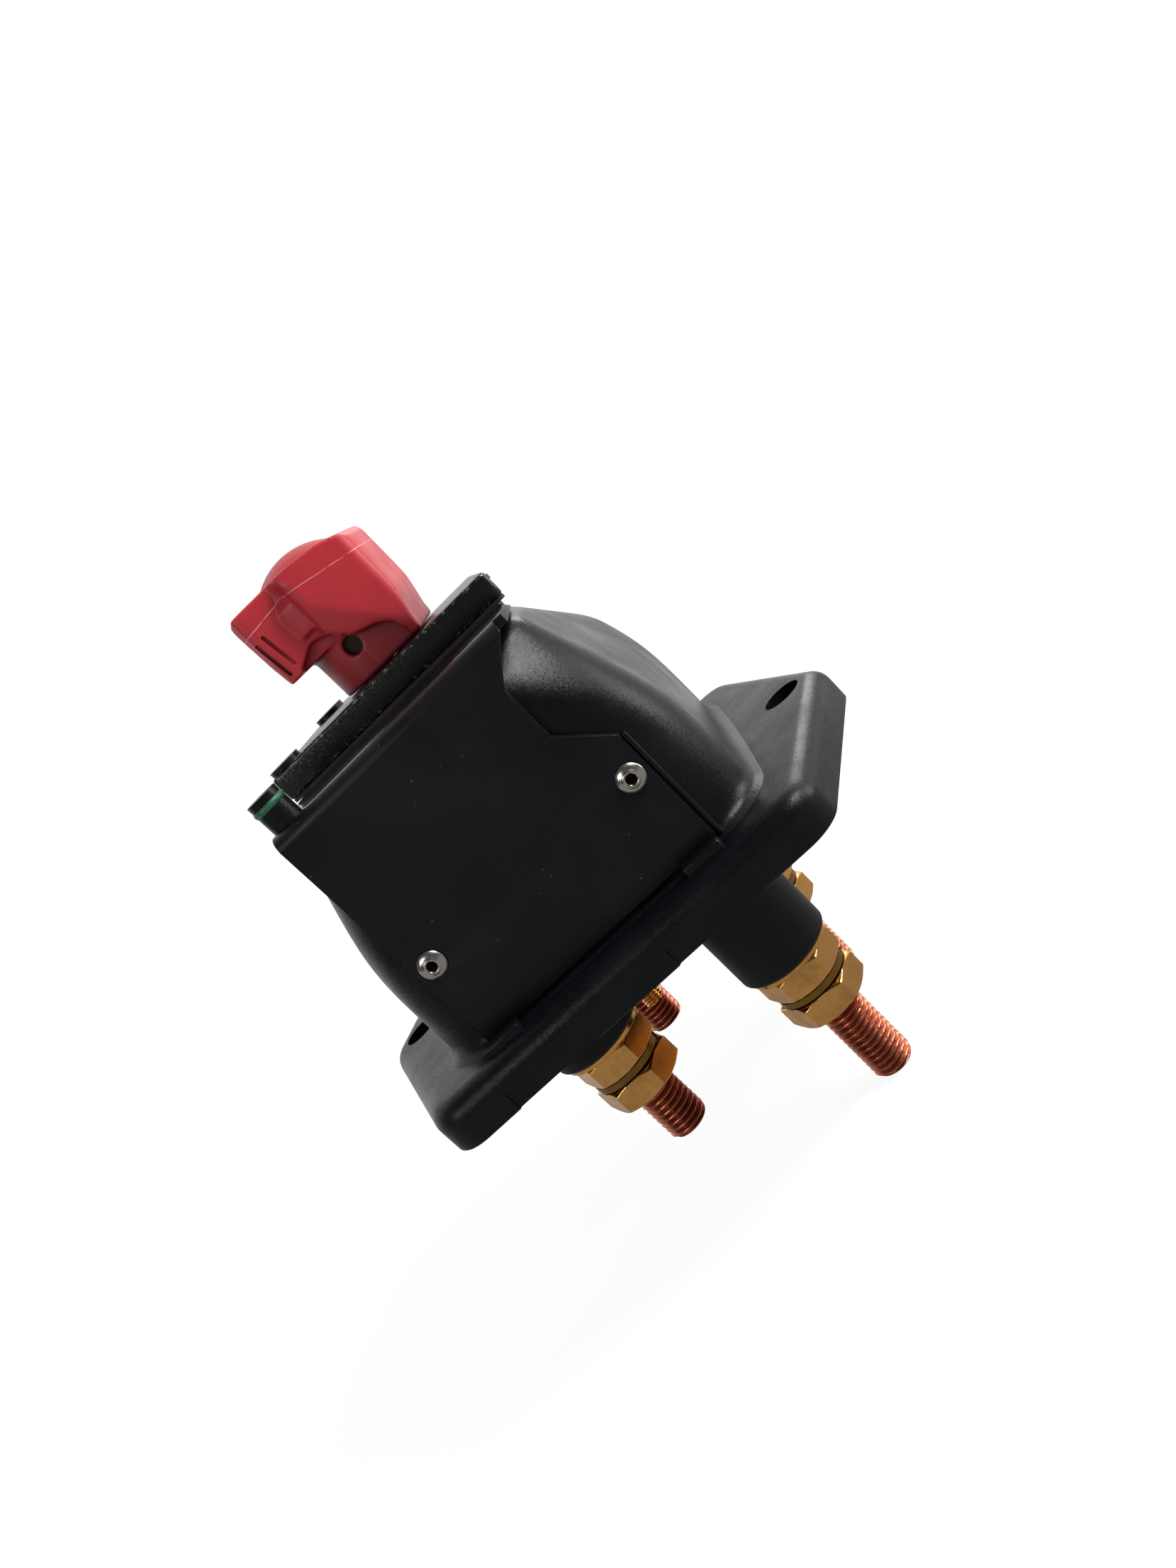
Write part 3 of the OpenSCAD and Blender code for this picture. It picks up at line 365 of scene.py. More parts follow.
def flash_line(tree, place):
    """Share of the thin pale flash line that runs across the handle's head."""
    axis = add_node(tree, "ShaderNodeSeparateXYZ", links={0: place}).outputs
    beyond = math_node(tree, "SUBTRACT", axis["X"], FLASH_BEND_X)
    right = math_node(tree, "MULTIPLY", math_node(tree, "MAXIMUM", beyond, 0.0), FLASH_RIGHT_FALL)
    left = math_node(tree, "MULTIPLY", math_node(tree, "MINIMUM", beyond, 0.0), FLASH_LEFT_FALL)
    line = math_node(tree, "SUBTRACT", FLASH_Z, math_node(tree, "ADD", right, left))
    wave = math_node(tree, "MULTIPLY", noise_at(tree, place, 300, 2.0), FLASH_WAVE)
    off = math_node(tree, "SUBTRACT", math_node(tree, "ADD", axis["Z"], wave), line)
    off = math_node(tree, "ABSOLUTE", off)
    thin = ramp(tree, off, FLASH_HALF_W, 2 * FLASH_HALF_W, 1.0, 0.0)
    broken = ramp(tree, noise_at(tree, place, 420, 3.0), 0.38, 0.55, 0.05, 0.7)
    return math_node(tree, "MULTIPLY", thin, broken)


def handle_material():
    """Red moulding with a soft sheen, mottling, painted shade in its hollows and a pale flash line."""
    values = {"Subsurface Weight": 0.03, "Subsurface Scale": 0.001, "Specular IOR Level": 0.4}
    material, tree, shader, place = new_material("red moulded handle", values)
    mottle = noise_at(tree, place, 140, 4.0)
    colour = mix_colour(tree, ramp(tree, mottle, 0.35, 0.7, 0.0, 0.6), srgb("#ae2730"), srgb("#9c1f28"))
    # Painted shade: ambient occlusion darkens the handle's hollows towards dark red.
    hollow = add_node(tree, "ShaderNodeAmbientOcclusion", {"Distance": PAINTED_SHADE_REACH, "samples": 8})
    painted_hollow_shade = ramp(tree, hollow.outputs["AO"], 0.25, 0.95, 0.8, 0.0)
    colour = mix_colour(tree, painted_hollow_shade, colour, srgb("#3a0509"))
    colour = mix_colour(tree, flash_line(tree, place), colour, srgb("#e0a9a6"))
    tree.links.new(colour, shader.inputs["Base Color"])
    tree.links.new(ramp(tree, mottle, 0.3, 0.7, 0.36, 0.48), shader.inputs["Roughness"])
    skin = noise_at(tree, place, 1800, 3.0)
    tree.links.new(bump(tree, skin, 0.1, 0.00008), shader.inputs["Normal"])
    return material


def plain_material(name, colour, second, gloss, scale):
    """Plain soft material with two close tones and a fine surface."""
    material, tree, shader, place = new_material(name, {"Roughness": gloss})
    cloud = noise_at(tree, place, scale, 4.0)
    tree.links.new(
        mix_colour(tree, ramp(tree, cloud, 0.35, 0.65, 0.0, 1.0), srgb(colour), srgb(second)),
        shader.inputs["Base Color"],
    )
    skin = noise_at(tree, place, scale * 8, 3.0)
    tree.links.new(bump(tree, skin, 0.2, 0.0001), shader.inputs["Normal"])
    return material


handle_red = handle_material()
green_rubber = plain_material("green ring rubber", "#1d5a3c", "#174a31", 0.45, 300)
black_rubber = plain_material("black gasket rubber", "#141414", "#1b1b1b", 0.6, 300)
fibre = plain_material("dark gasket fibre", "#221d18", "#15120f", 0.6, 500)

# %% [markdown]
# ## Making plain meshes
# Every finished piece is a plain mesh at the origin. One helper turns numpy
# rings into a closed skin, and another puts a finished mesh into the scene,
# seats it on its body and lets it stand for its construction node.

# %% Mesh helpers
def skin_rings(rings, closed_ends=True):
    """Mesh of quads between rings that have the same number of points."""
    count = rings[0].shape[0]
    points = np.concatenate(rings)
    low = np.arange(count)
    faces = []
    for level in range(len(rings) - 1):
        here = level * count
        near, far = here + low, here + (low + 1) % count
        faces.extend(np.stack([near, far, far + count, near + count], axis=1).tolist())
    if closed_ends:
        faces.append(low[::-1].tolist())
        faces.append((low + (len(rings) - 1) * count).tolist())
    mesh = bpy.data.meshes.new("skin")
    mesh.from_pydata(points.tolist(), [], faces)
    mesh.update()
    return mesh


def new_object(name, mesh):
    """Links a new object that holds the mesh."""
    obj = bpy.data.objects.new(name, mesh)
    bpy.context.scene.collection.objects.link(obj)
    return obj


def baked(obj):
    """Replaces an object's modifiers by their result."""
    graph = bpy.context.evaluated_depsgraph_get()
    mesh = bpy.data.meshes.new_from_object(obj.evaluated_get(graph))
    obj.modifiers.clear()
    obj.data = mesh
    return obj


def shade(obj, angle=30):
    """Smooth shading with edges sharper than the angle kept crisp."""
    for polygon in obj.data.polygons:
        polygon.use_smooth = True
    graph = bmesh.new()
    graph.from_mesh(obj.data)
    for edge in graph.edges:
        edge.smooth = not edge.is_manifold or edge.calc_face_angle(0.0) < math.radians(angle)
    graph.to_mesh(obj.data)
    graph.free()


def finish_piece(obj, material, body, nodes, angle=30):
    """Shades a piece, gives it its finish and body, and lets it stand for its nodes."""
    shade(obj, angle)
    obj.data.materials.clear()
    obj.data.materials.append(material)
    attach(obj, body)
    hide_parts(*nodes)
    print(obj.name, len(obj.data.polygons), "faces")
    return obj


def cut_with(obj, tool, operation="DIFFERENCE"):
    """Cuts or joins one solid with another, then drops the tool."""
    step = obj.modifiers.new("cut", "BOOLEAN")
    step.operation = operation
    step.solver = "EXACT"
    step.object = tool
    baked(obj)
    bpy.data.objects.remove(tool)
    return obj


# %% [markdown]
# ## Softened copies
# The cover and the terminal base have true sharp edges in the construction
# model, but a real edge is always slightly round and catches a thin line of
# light. The copy is cleaned of its triangles and its sharp edges are bevelled.

# %% Softened copies of plain pieces
COVER_EDGE_R, BASE_EDGE_R = 0.2 * MM, 0.3 * MM
WELD_DIST = 0.002 * MM
FLAT_ANGLE = math.radians(1.0)
SHARP_ANGLE = math.radians(35.0)


def softened(node, name, radius, material, edge_material):
    """Copies a node, bevels its sharp edges in their own finish and lets the copy stand for it."""
    source = bpy.data.objects[node]
    obj = new_object(name, source.data.copy())
    graph = bmesh.new()
    graph.from_mesh(obj.data)
    bmesh.ops.remove_doubles(graph, verts=graph.verts, dist=WELD_DIST)
    bmesh.ops.dissolve_limit(graph, angle_limit=FLAT_ANGLE, verts=graph.verts, edges=graph.edges)
    graph.to_mesh(obj.data)
    graph.free()
    edge = obj.modifiers.new("soft edge", "BEVEL")
    edge.width = radius
    edge.segments = 2
    edge.limit_method = "ANGLE"
    edge.angle_limit = SHARP_ANGLE
    edge.use_clamp_overlap = True
    edge.material = 1
    obj.data.materials.clear()
    for finish in (material, edge_material):
        obj.data.materials.append(finish)
    baked(obj)
    rubbed = [polygon.index for polygon in obj.data.polygons if polygon.material_index == 1]
    finish_piece(obj, material, "body", [node], 50)
    obj.data.materials.append(edge_material)
    for index in rubbed:
        obj.data.polygons[index].material_index = 1
    return obj


softened("cover_bracket", "bent_cover", COVER_EDGE_R, painted_sheet, sheet_edge)
softened(
    "terminal_base",
    "moulded_terminal_base",
    BASE_EDGE_R,
    matt_moulding,
    matt_moulding,
)

# %% [markdown]
# ## The face plate
# The plate is a thick casting whose ends slant in towards the back. Its edges
# roll over in a small quarter circle, where the coat is rubbed through.

# %% Face plate
PLATE_HALF_L, PLATE_HALF_D = 31.0 * MM, 18.9 * MM
PLATE_TAPER = 6.5 * MM
PLATE_Z, PLATE_T = 69.8 * MM, 5.9 * MM
PLATE_CORNER_R = 1.8 * MM
PLATE_ROLL = 0.7 * MM


def rounded_outline(corners, radius, steps=6):
    """Closed outline through corners, each rounded over the radius."""
    points = []
    for i, corner in enumerate(corners):
        before = (Vector(corners[i - 1]) - Vector(corner)).normalized() * radius
        after = (Vector(corners[(i + 1) % len(corners)]) - Vector(corner)).normalized() * radius
        for share in np.linspace(0.0, 1.0, steps):
            point = Vector(corner) + before * (1 - share) ** 2 + after * share**2
            points.append((point.x, point.y))
    return np.array(points)


def build_plate():
    """Lofts the plate's outline with rolled lower and upper edges."""
    roll = np.linspace(0.0, math.pi / 2, 5)
    low = [(PLATE_ROLL * (1 - math.cos(a)), PLATE_ROLL * (1 - math.sin(a))) for a in roll]
    levels = low + [(PLATE_T - z, inset) for z, inset in reversed(low)]
    rings = []
    for z, inset in levels:
        half_l, half_d = PLATE_HALF_L - inset, PLATE_HALF_D - inset
        corners = [(half_l, -half_d), (half_l - PLATE_TAPER, half_d)]
        corners += [(PLATE_TAPER - half_l, half_d), (-half_l, -half_d)]
        outline = rounded_outline(corners, PLATE_CORNER_R)
        rings.append(np.column_stack([outline, np.full(len(outline), PLATE_Z + z)]))
    return new_object("cast_face_plate", skin_rings(rings))


plate = finish_piece(build_plate(), plate_coat, "body", ["face_plate"], 40)
plate.data.materials.append(plate_edge)
for polygon in plate.data.polygons:
    off_middle = abs(polygon.center.z - PLATE_Z - PLATE_T / 2)
    if off_middle > PLATE_T / 2 - PLATE_ROLL and abs(polygon.normal.z) < 0.98:
        polygon.material_index = 1

# %% [markdown]
# ## The housing
# The real housing is one moulding with soft transitions: upright sides that
# bend inwards, flat front and back, sloping corner facets, and a hollow fillet
# down to the flange. Its level sections follow a rule, so it is lofted: each
# section is a rounded rectangle met by the facets' planes with a soft minimum,
# and by two more planes that make the rear slopes. The left front facet lies a
# little further out than the others.

# %% Housing sizes
BODY_HALF_W = 41.6 * MM
BODY_HALF_D = 44.4 * MM
BODY_TOP = 67.0 * MM
BODY_CORNER_R = 14.0 * MM
BODY_EDGE_R = 3.0 * MM
TOP_HALF_W = 30.4 * MM
SIDE_SLOPE = 0.356
SIDE_BEND = 1.6 * MM
FACET_DIST = 70.0 * MM
FACET_LEFT_DIST = 72.0 * MM
FACET_TILT = math.radians(61.7)
FACET_TURN = math.radians(52.4)
FACET_BLEND = 2.6 * MM
REAR_DIST = 62.9 * MM
REAR_TILT = math.radians(50.8)
REAR_TURN = math.radians(9.7)
REAR_BLEND = 2.0 * MM
WALL = 3.5 * MM
FLANGE_H = 10.2 * MM
FOOT_FILLET = 3.4 * MM
CORNER_SHRINK = 5.0 * MM
FIRST_STEP = 1.0 * MM
OVERRUN = 1.0 * MM


def soft_min(a, b, blend):
    """Smaller of two values, with a rounded change-over."""
    mix = np.clip(0.5 + 0.5 * (b - a) / blend, 0.0, 1.0)
    return b + (a - b) * mix - blend * mix * (1.0 - mix)


def side_half_w(z):
    """Half width of the housing at a height, upright below and sloping above."""
    bend_z = BODY_TOP - (BODY_HALF_W - TOP_HALF_W) / SIDE_SLOPE
    lean = (z - bend_z) * SIDE_SLOPE
    return BODY_HALF_W - SIDE_BEND * np.logaddexp(0.0, lean / SIDE_BEND)


def rounded_reach(angle, half_w, half_d, corner):
    """Distance from the middle to a rounded rectangle in each direction."""
    along, across = np.abs(np.cos(angle)), np.abs(np.sin(angle))
    core_w, core_d = half_w - corner, half_d - corner
    side = half_w / np.maximum(along, 1e-9)
    front = half_d / np.maximum(across, 1e-9)
    inner = core_w * along + core_d * across
    root = np.maximum(inner**2 - core_w**2 - core_d**2 + corner**2, 0.0)
    arc = inner + np.sqrt(root)
    reach = np.where(side * across <= core_d, side, arc)
    return np.where(front * along <= core_w, front, reach)


def slope_reach(dist, tilt, turn, z, along, across):
    """Distance from the middle to a sloping plane at one height in each direction."""
    lean = math.sin(tilt) * (math.cos(turn) * along + math.sin(turn) * across)
    return (dist - z * math.cos(tilt)) / np.maximum(lean, 0.02)


def housing_section(z, inset, angle):
    """Reach of one level section of the housing, drawn in by inset."""
    crown = max(z - (BODY_TOP - inset - BODY_EDGE_R), 0.0)
    inset = inset + BODY_EDGE_R - math.sqrt(max(BODY_EDGE_R**2 - crown**2, 0.0))
    half_w = side_half_w(z) - inset
    half_d = BODY_HALF_D - inset
    reach = rounded_reach(angle, half_w, half_d, BODY_CORNER_R - min(inset, CORNER_SHRINK))
    along, across = np.abs(np.cos(angle)), np.sin(angle)
    front_left = (np.cos(angle) < 0) & (across < 0)
    dist = np.where(front_left, FACET_LEFT_DIST, FACET_DIST) - inset
    facet = slope_reach(dist, FACET_TILT, FACET_TURN, z, along, np.abs(across))
    rear = slope_reach(REAR_DIST - inset, REAR_TILT, REAR_TURN, z, along, across)
    return soft_min(soft_min(reach, facet, FACET_BLEND), rear, REAR_BLEND)


def ring_at(z, reach, angle):
    """Points of one level ring."""
    return np.stack([reach * np.cos(angle), reach * np.sin(angle), np.full_like(angle, z)], axis=1)


SECTION_ANGLES = np.linspace(0.0, 2 * math.pi, 360, endpoint=False)


def housing_loft(name, inset, foot, fillet):
    """Lofts the housing's sections from its foot to its rounded top."""
    top = BODY_TOP - inset
    climb = np.linspace(0.0, 1.0, 9)
    low = foot + np.concatenate([[0.0], fillet * (1 - np.cos(climb * math.pi / 2))[1:]])
    side = np.linspace(low[-1] + FIRST_STEP, top - BODY_EDGE_R, 46)
    crown = top - BODY_EDGE_R * (1 - np.sin(climb * math.pi / 2))
    rings = []
    for z in np.concatenate([low, side, crown[1:]]):
        flare = 0.0
        if fillet > 0 and z < FLANGE_H + fillet:
            rise = (FLANGE_H + fillet - max(z, FLANGE_H)) / fillet
            flare = fillet * (1 - math.sqrt(max(1 - rise**2, 0.0)))
        rings.append(ring_at(z, housing_section(z, inset, SECTION_ANGLES) + flare, SECTION_ANGLES))
    return new_object(name, skin_rings(rings))


# %% [markdown]
# The flange is the outline of six round corners joined by straight lines. Its
# upper rim rolls over in a quarter circle, so each ring above the rim's start
# has smaller corners about the same centres.

# %% Flange
EAR_SPACING = 113.4 * MM
EAR_HOLE_R = 4.65 * MM
EAR_TIP_R = 7.0 * MM
EAR_TIP_OUT = 3.1 * MM
FLANGE_CORNER_X = 41.5 * MM
FLANGE_CORNER_R = 9.0 * MM
FLANGE_HALF_D = 54.0 * MM
FLANGE_RIM_R = 4.5 * MM


def flange_outline(inset):
    """Flange outline drawn in by inset: arcs round six centres, run anticlockwise."""
    tip = EAR_SPACING / 2 + EAR_TIP_OUT
    corner_y = FLANGE_HALF_D - FLANGE_CORNER_R
    span = Vector((FLANGE_CORNER_X - tip, corner_y))
    lean = math.atan2(span.y, span.x) - math.pi / 2
    swell = math.asin((FLANGE_CORNER_R - EAR_TIP_R) / span.length)
    turn = lean - swell
    arcs = [
        (tip, 0.0, EAR_TIP_R, -turn, turn),
        (FLANGE_CORNER_X, corner_y, FLANGE_CORNER_R, turn, math.pi / 2),
        (-FLANGE_CORNER_X, corner_y, FLANGE_CORNER_R, math.pi / 2, math.pi - turn),
        (-tip, 0.0, EAR_TIP_R, math.pi - turn, math.pi + turn),
        (-FLANGE_CORNER_X, -corner_y, FLANGE_CORNER_R, math.pi + turn, 1.5 * math.pi),
        (FLANGE_CORNER_X, -corner_y, FLANGE_CORNER_R, 1.5 * math.pi, 2 * math.pi - turn),
    ]
    points = []
    for x, y, radius, start, end in arcs:
        for angle in np.linspace(start, end, 14):
            reach = radius - inset
            points.append((x + reach * math.cos(angle), y + reach * math.sin(angle)))
    return np.array(points)


def flange_loft():
    """Skirt and ears with a rolled upper rim."""
    rings = []
    roll = np.linspace(0.0, math.pi / 2, 9)
    levels = [(0.0, 0.25 * MM), (0.3 * MM, 0.0), (FLANGE_H - FLANGE_RIM_R, 0.0)]
    levels += [
        (FLANGE_H - FLANGE_RIM_R * (1 - math.sin(a)), FLANGE_RIM_R * (1 - math.cos(a))) for a in roll[1:]
    ]
    for z, inset in levels:
        outline = flange_outline(inset)
        rings.append(np.column_stack([outline, np.full(len(outline), z)]))
    return new_object("flange", skin_rings(rings))


def round_bar(name, radius, low, high, place, sides=48):
    """Upright cylinder used as a cutter."""
    angle = np.linspace(0.0, 2 * math.pi, sides, endpoint=False)
    reach = np.full_like(angle, radius)
    rings = [ring_at(z, reach, angle) + [place[0], place[1], 0.0] for z in (low, high)]
    return new_object(name, skin_rings(rings))


def soft_block(name, low, high, radius, steps=3):
    """Block between two corners with bevelled edges."""
    mesh = bpy.data.meshes.new(name)
    graph = bmesh.new()
    bmesh.ops.create_cube(graph, size=1.0)
    centre, size = (Vector(low) + Vector(high)) / 2, Vector(high) - Vector(low)
    for vertex in graph.verts:
        vertex.co = Vector([centre[i] + vertex.co[i] * size[i] for i in range(3)])
    if radius > 0:
        bmesh.ops.bevel(
            graph, geom=graph.edges, offset=radius, segments=steps, affect="EDGES", profile=0.5
        )
    graph.to_mesh(mesh)
    graph.free()
    return new_object(name, mesh)


# %% Join the housing
TAB_X = (-27.0 * MM, 25.5 * MM)
TAB_HALF_W, TAB_OUT = 4.6 * MM, 3.4 * MM
TAB_FOOT, TAB_RISE, TAB_R = 4.0 * MM, 1.9 * MM, 0.6 * MM
RIB_GAP, RIB_W, RIB_OUT = 0.3 * MM, 1.0 * MM, 1.3 * MM
RIB_RISE, RIB_R = 26.0 * MM, 0.35 * MM
CREASE_X = (-22.5 * MM, 19.4 * MM)
CREASE_HALF_W, CREASE_DEEP = 10.5 * MM, 0.9 * MM
CREASE_RISE, CREASE_R = 4.6 * MM, 0.5 * MM
BASE_HALF_W = BODY_HALF_W + 2.4 * MM
BASE_HALF_D = BODY_HALF_D + 3.1 * MM
BASE_CORNER_R = BODY_CORNER_R - 3.9 * MM
LEDGE_Z = 7.5 * MM
CAVITY_FOOT = 4.0 * MM
SHAFT_BORE_R = 6.6 * MM
BRACKET_HALF_D = BODY_HALF_D + 2.0 * MM
BRACKET_HALF_W = 30.2 * MM
BRACKET_BOTTOM = 11.9 * MM


def half_turned(obj):
    """Copy of an object turned half round the upright axis."""
    other = new_object(obj.name + "_back", obj.data.copy())
    other.data.transform(Matrix.Rotation(math.pi, 4, "Z"))
    return other


def housing_details():
    """Stop tabs below the cover and thin ribs beside it, front and back."""
    parts = []
    for x in TAB_X:
        low = (x - TAB_HALF_W, -BRACKET_HALF_D - TAB_OUT, FLANGE_H - TAB_FOOT)
        high = (x + TAB_HALF_W, -BRACKET_HALF_D, FLANGE_H + TAB_RISE)
        parts.append(soft_block("tab", low, high, TAB_R))
    rib_x = BRACKET_HALF_W + RIB_GAP
    low = (rib_x, -BODY_HALF_D - RIB_OUT, FLANGE_H - OVERRUN)
    high = (rib_x + RIB_W, -BODY_HALF_D + OVERRUN, BRACKET_BOTTOM + RIB_RISE)
    parts.append(soft_block("rib", low, high, RIB_R, 2))
    return parts + [half_turned(part) for part in parts]


def skirt_creases():
    """Cutters for the shallow recesses low in the skirt, front and back."""
    parts = []
    for x in CREASE_X:
        low = (x - CREASE_HALF_W, -FLANGE_HALF_D - OVERRUN, -3 * OVERRUN)
        high = (x + CREASE_HALF_W, -FLANGE_HALF_D + CREASE_DEEP, CREASE_RISE)
        parts.append(soft_block("crease", low, high, CREASE_R))
    return parts + [half_turned(part) for part in parts]


def build_housing():
    """Joins flange, body, tabs and ribs, then hollows and drills them."""
    shell = housing_loft("moulded_housing", 0.0, FLANGE_H - 2 * OVERRUN, FOOT_FILLET)
    cut_with(shell, flange_loft(), "UNION")
    for part in housing_details():
        cut_with(shell, part, "UNION")
    cut_with(shell, housing_loft("cavity", WALL, CAVITY_FOOT, 0.0))
    angle = SECTION_ANGLES
    reach = rounded_reach(angle, BASE_HALF_W, BASE_HALF_D, BASE_CORNER_R)
    pocket = [ring_at(z, reach, angle) for z in (-OVERRUN, LEDGE_Z)]
    cut_with(shell, new_object("base pocket", skin_rings(pocket)))
    for x in (-EAR_SPACING / 2, EAR_SPACING / 2):
        cut_with(shell, round_bar("ear hole", EAR_HOLE_R, -OVERRUN, FLANGE_H + OVERRUN, (x, 0.0)))
    for crease in skirt_creases():
        cut_with(shell, crease)
    low, high = BODY_TOP - WALL - OVERRUN, BODY_TOP + OVERRUN
    return cut_with(shell, round_bar("shaft bore", SHAFT_BORE_R, low, high, (0.0, 0.0)))


finish_piece(build_housing(), black_moulding, "body", ["housing"], 32)

# %% [markdown]
# ## The handle
# The red handle is a thick moulding whose corners are all well rounded. The
# construction model gives its form with crisp corners, so the copy is turned
# into even small cells and smoothed, which rounds every corner by about a
# millimetre, as the real moulding is.

# %% Handle
HANDLE_CELL = 0.36 * MM
HANDLE_HALF = 20.0 * MM
STEM_R = 10.5 * MM
STEM_LEFT_OF = 1.5 * MM
STEM_FOOT, STEM_TOP = 70.0 * MM, 86.3 * MM
STEM_BAR = (60.0 * MM, 95.0 * MM)
GROOVES = ((-10.6 * MM, 88.9 * MM, 97.4 * MM), (-12.8 * MM, 87.8 * MM, 97.0 * MM))
GROOVE_LEAN = -0.09
GROOVE_HALF_W, GROOVE_R = 0.42 * MM, 0.3 * MM
GROOVE_FLOOR = 13.6 * MM


def stem_surround():
    """Everything round the handle's round stem on its left side."""
    low = (-HANDLE_HALF, -HANDLE_HALF, STEM_FOOT)
    surround = soft_block("surround", low, (STEM_LEFT_OF, HANDLE_HALF, STEM_TOP), 0.0)
    return cut_with(surround, round_bar("stem", STEM_R, *STEM_BAR, (0.0, 0.0), 96))


def cut_grooves(obj):
    """Two slim upright grip grooves in the block's front, and their twins at the back."""
    for x, low, high in GROOVES:
        for near, far in ((-HANDLE_HALF, -GROOVE_FLOOR), (GROOVE_FLOOR, HANDLE_HALF)):
            corner, other = (x - GROOVE_HALF_W, near, low), (x + GROOVE_HALF_W, far, high)
            tool = soft_block("groove", corner, other, GROOVE_R)
            for vertex in tool.data.vertices:
                vertex.co.x += GROOVE_LEAN * (vertex.co.z - (low + high) / 2)
            cut_with(obj, tool)
    return obj


def build_handle():
    """Copy of the handle's solid with its round stem and softly rounded corners."""
    obj = new_object("red_handle", bpy.data.objects["handle"].data.copy())
    cut_with(obj, stem_surround())
    cells = obj.modifiers.new("cells", "REMESH")
    cells.mode = "VOXEL"
    cells.voxel_size = HANDLE_CELL
    soft = obj.modifiers.new("soft", "SMOOTH")
    soft.factor = 0.5
    soft.iterations = 10
    return cut_grooves(baked(obj))


finish_piece(build_handle(), handle_red, "rotor", ["handle"], 180)

# %% [markdown]
# ## Threaded studs
# A thread is one groove that climbs by its pitch in each turn. On a grid of
# angles and heights, the radius depends only on how far a point lies along
# the groove, so the whole stud is one sheet of quads with a chamfered tip.

# %% Threaded studs
LONG_TIP, SHORT_TIP = -60.3 * MM, -39.4 * MM
BASE_TOP = 6.5 * MM
STUD_HEAD_R = 9.0 * MM
STUD_HEAD_H = 4.0 * MM
ROOT_SHARE, FLANK_SHARE = 0.09, 0.3
TIP_CHAMFER, TIP_STEEPNESS = 0.25 * MM, 0.9


def thread_radius(z, angle, radius, pitch, depth):
    """Radius of a thread at heights and angles, with flat crests and roots."""
    along = np.mod(z / pitch - angle / (2 * math.pi), 1.0)
    flank = np.clip((np.abs(along - 0.5) - ROOT_SHARE) / FLANK_SHARE, 0.0, 1.0)
    return radius - depth * (1.0 - flank)


def threaded_rod(name, radius, pitch, depth, tip, top, sides=40, steps=8):
    """Rod with a thread from its tip to its top, its tip turned down to the root."""
    angle = np.linspace(0.0, 2 * math.pi, sides, endpoint=False)
    levels = np.linspace(tip, top, int((top - tip) / pitch * steps))
    rings = [ring_at(tip, np.full_like(angle, radius - depth - TIP_CHAMFER), angle)]
    for z in levels[1:]:
        reach = thread_radius(z, angle, radius, pitch, depth)
        run_in = radius - depth + (z - tip) * TIP_STEEPNESS
        rings.append(ring_at(z, np.minimum(reach, run_in), angle))
    return new_object(name, skin_rings(rings))


def build_studs(name, side, tip):
    """Pair of studs with their round heads inside the base."""
    parts = []
    for y in (-1, 1):
        rod = threaded_rod("rod", STUD_R, THREAD_PITCH, THREAD_DEPTH, tip, BASE_TOP)
        head = round_bar("head", STUD_HEAD_R, BASE_TOP, BASE_TOP + STUD_HEAD_H, (0.0, 0.0))
        for part in (rod, head):
            part.data.transform(Matrix.Translation((side * STUD_PITCH_X / 2, y * STUD_PITCH_Y / 2, 0.0)))
            parts.append(part)
    return join_parts(name, parts)


def join_parts(name, parts):
    """Joins separate meshes into one object."""
    graph = bmesh.new()
    for part in parts:
        graph.from_mesh(part.data)
        bpy.data.objects.remove(part)
    mesh = bpy.data.meshes.new(name)
    graph.to_mesh(mesh)
    graph.free()
    return new_object(name, mesh)


STUD_PAIRS = {
    "long_studs": ("long_threaded_studs", 1, LONG_TIP),
    "short_studs": ("short_threaded_studs", -1, SHORT_TIP),
}
for node_name, pair in STUD_PAIRS.items():
    finish_piece(build_studs(*pair), copper, "body", [node_name], 50)

# %% [markdown]
# ## The nut stacks
# The same washer, nut and spring washer come four times: on the two long bosses
# and on the two short ones. Geometry nodes place one finished part at the four
# terminals. The tree has named inputs for the spacing and the two heights.

# %% Pieces of the placing trees
def start_tree(name, sizes):
    """New geometry tree with inputs for sizes, a part and a finish."""
    tree = bpy.data.node_groups.new(name, "GeometryNodeTree")
    face = tree.interface
    for size in sizes:
        face.new_socket(size, in_out="INPUT", socket_type="NodeSocketFloat")
    face.new_socket("Part", in_out="INPUT", socket_type="NodeSocketObject")
    face.new_socket("Finish", in_out="INPUT", socket_type="NodeSocketMaterial")
    face.new_socket("Geometry", in_out="OUTPUT", socket_type="NodeSocketGeometry")
    return tree, add_node(tree, "NodeGroupInput").outputs


def point_pair(tree, start, step):
    """Two points, the second one step away from the first."""
    links = {"Start Location": start.outputs[0], "Offset": step.outputs[0]}
    return add_node(tree, "GeometryNodeMeshLine", {"Count": 2}, links).outputs[0]


def part_at(tree, points, part):
    """Real copies of a part at points."""
    source = add_node(tree, "GeometryNodeObjectInfo", links={"Object": part})
    links = {"Points": points, "Instance": source.outputs["Geometry"]}
    placed = add_node(tree, "GeometryNodeInstanceOnPoints", links=links)
    return add_node(tree, "GeometryNodeRealizeInstances", links={0: placed.outputs[0]}).outputs[0]


def joined(tree, shapes):
    """Several shapes as one."""
    node = add_node(tree, "GeometryNodeJoinGeometry")
    for shape in shapes:
        tree.links.new(shape, node.inputs[0])
    return node.outputs[0]


def end_tree(tree, shape, finish):
    """Gives the shape its finish and hands it out."""
    links = {"Geometry": shape, "Material": finish}
    named = add_node(tree, "GeometryNodeSetMaterial", links=links)
    add_node(tree, "NodeGroupOutput", links={0: named.outputs[0]})
    return tree


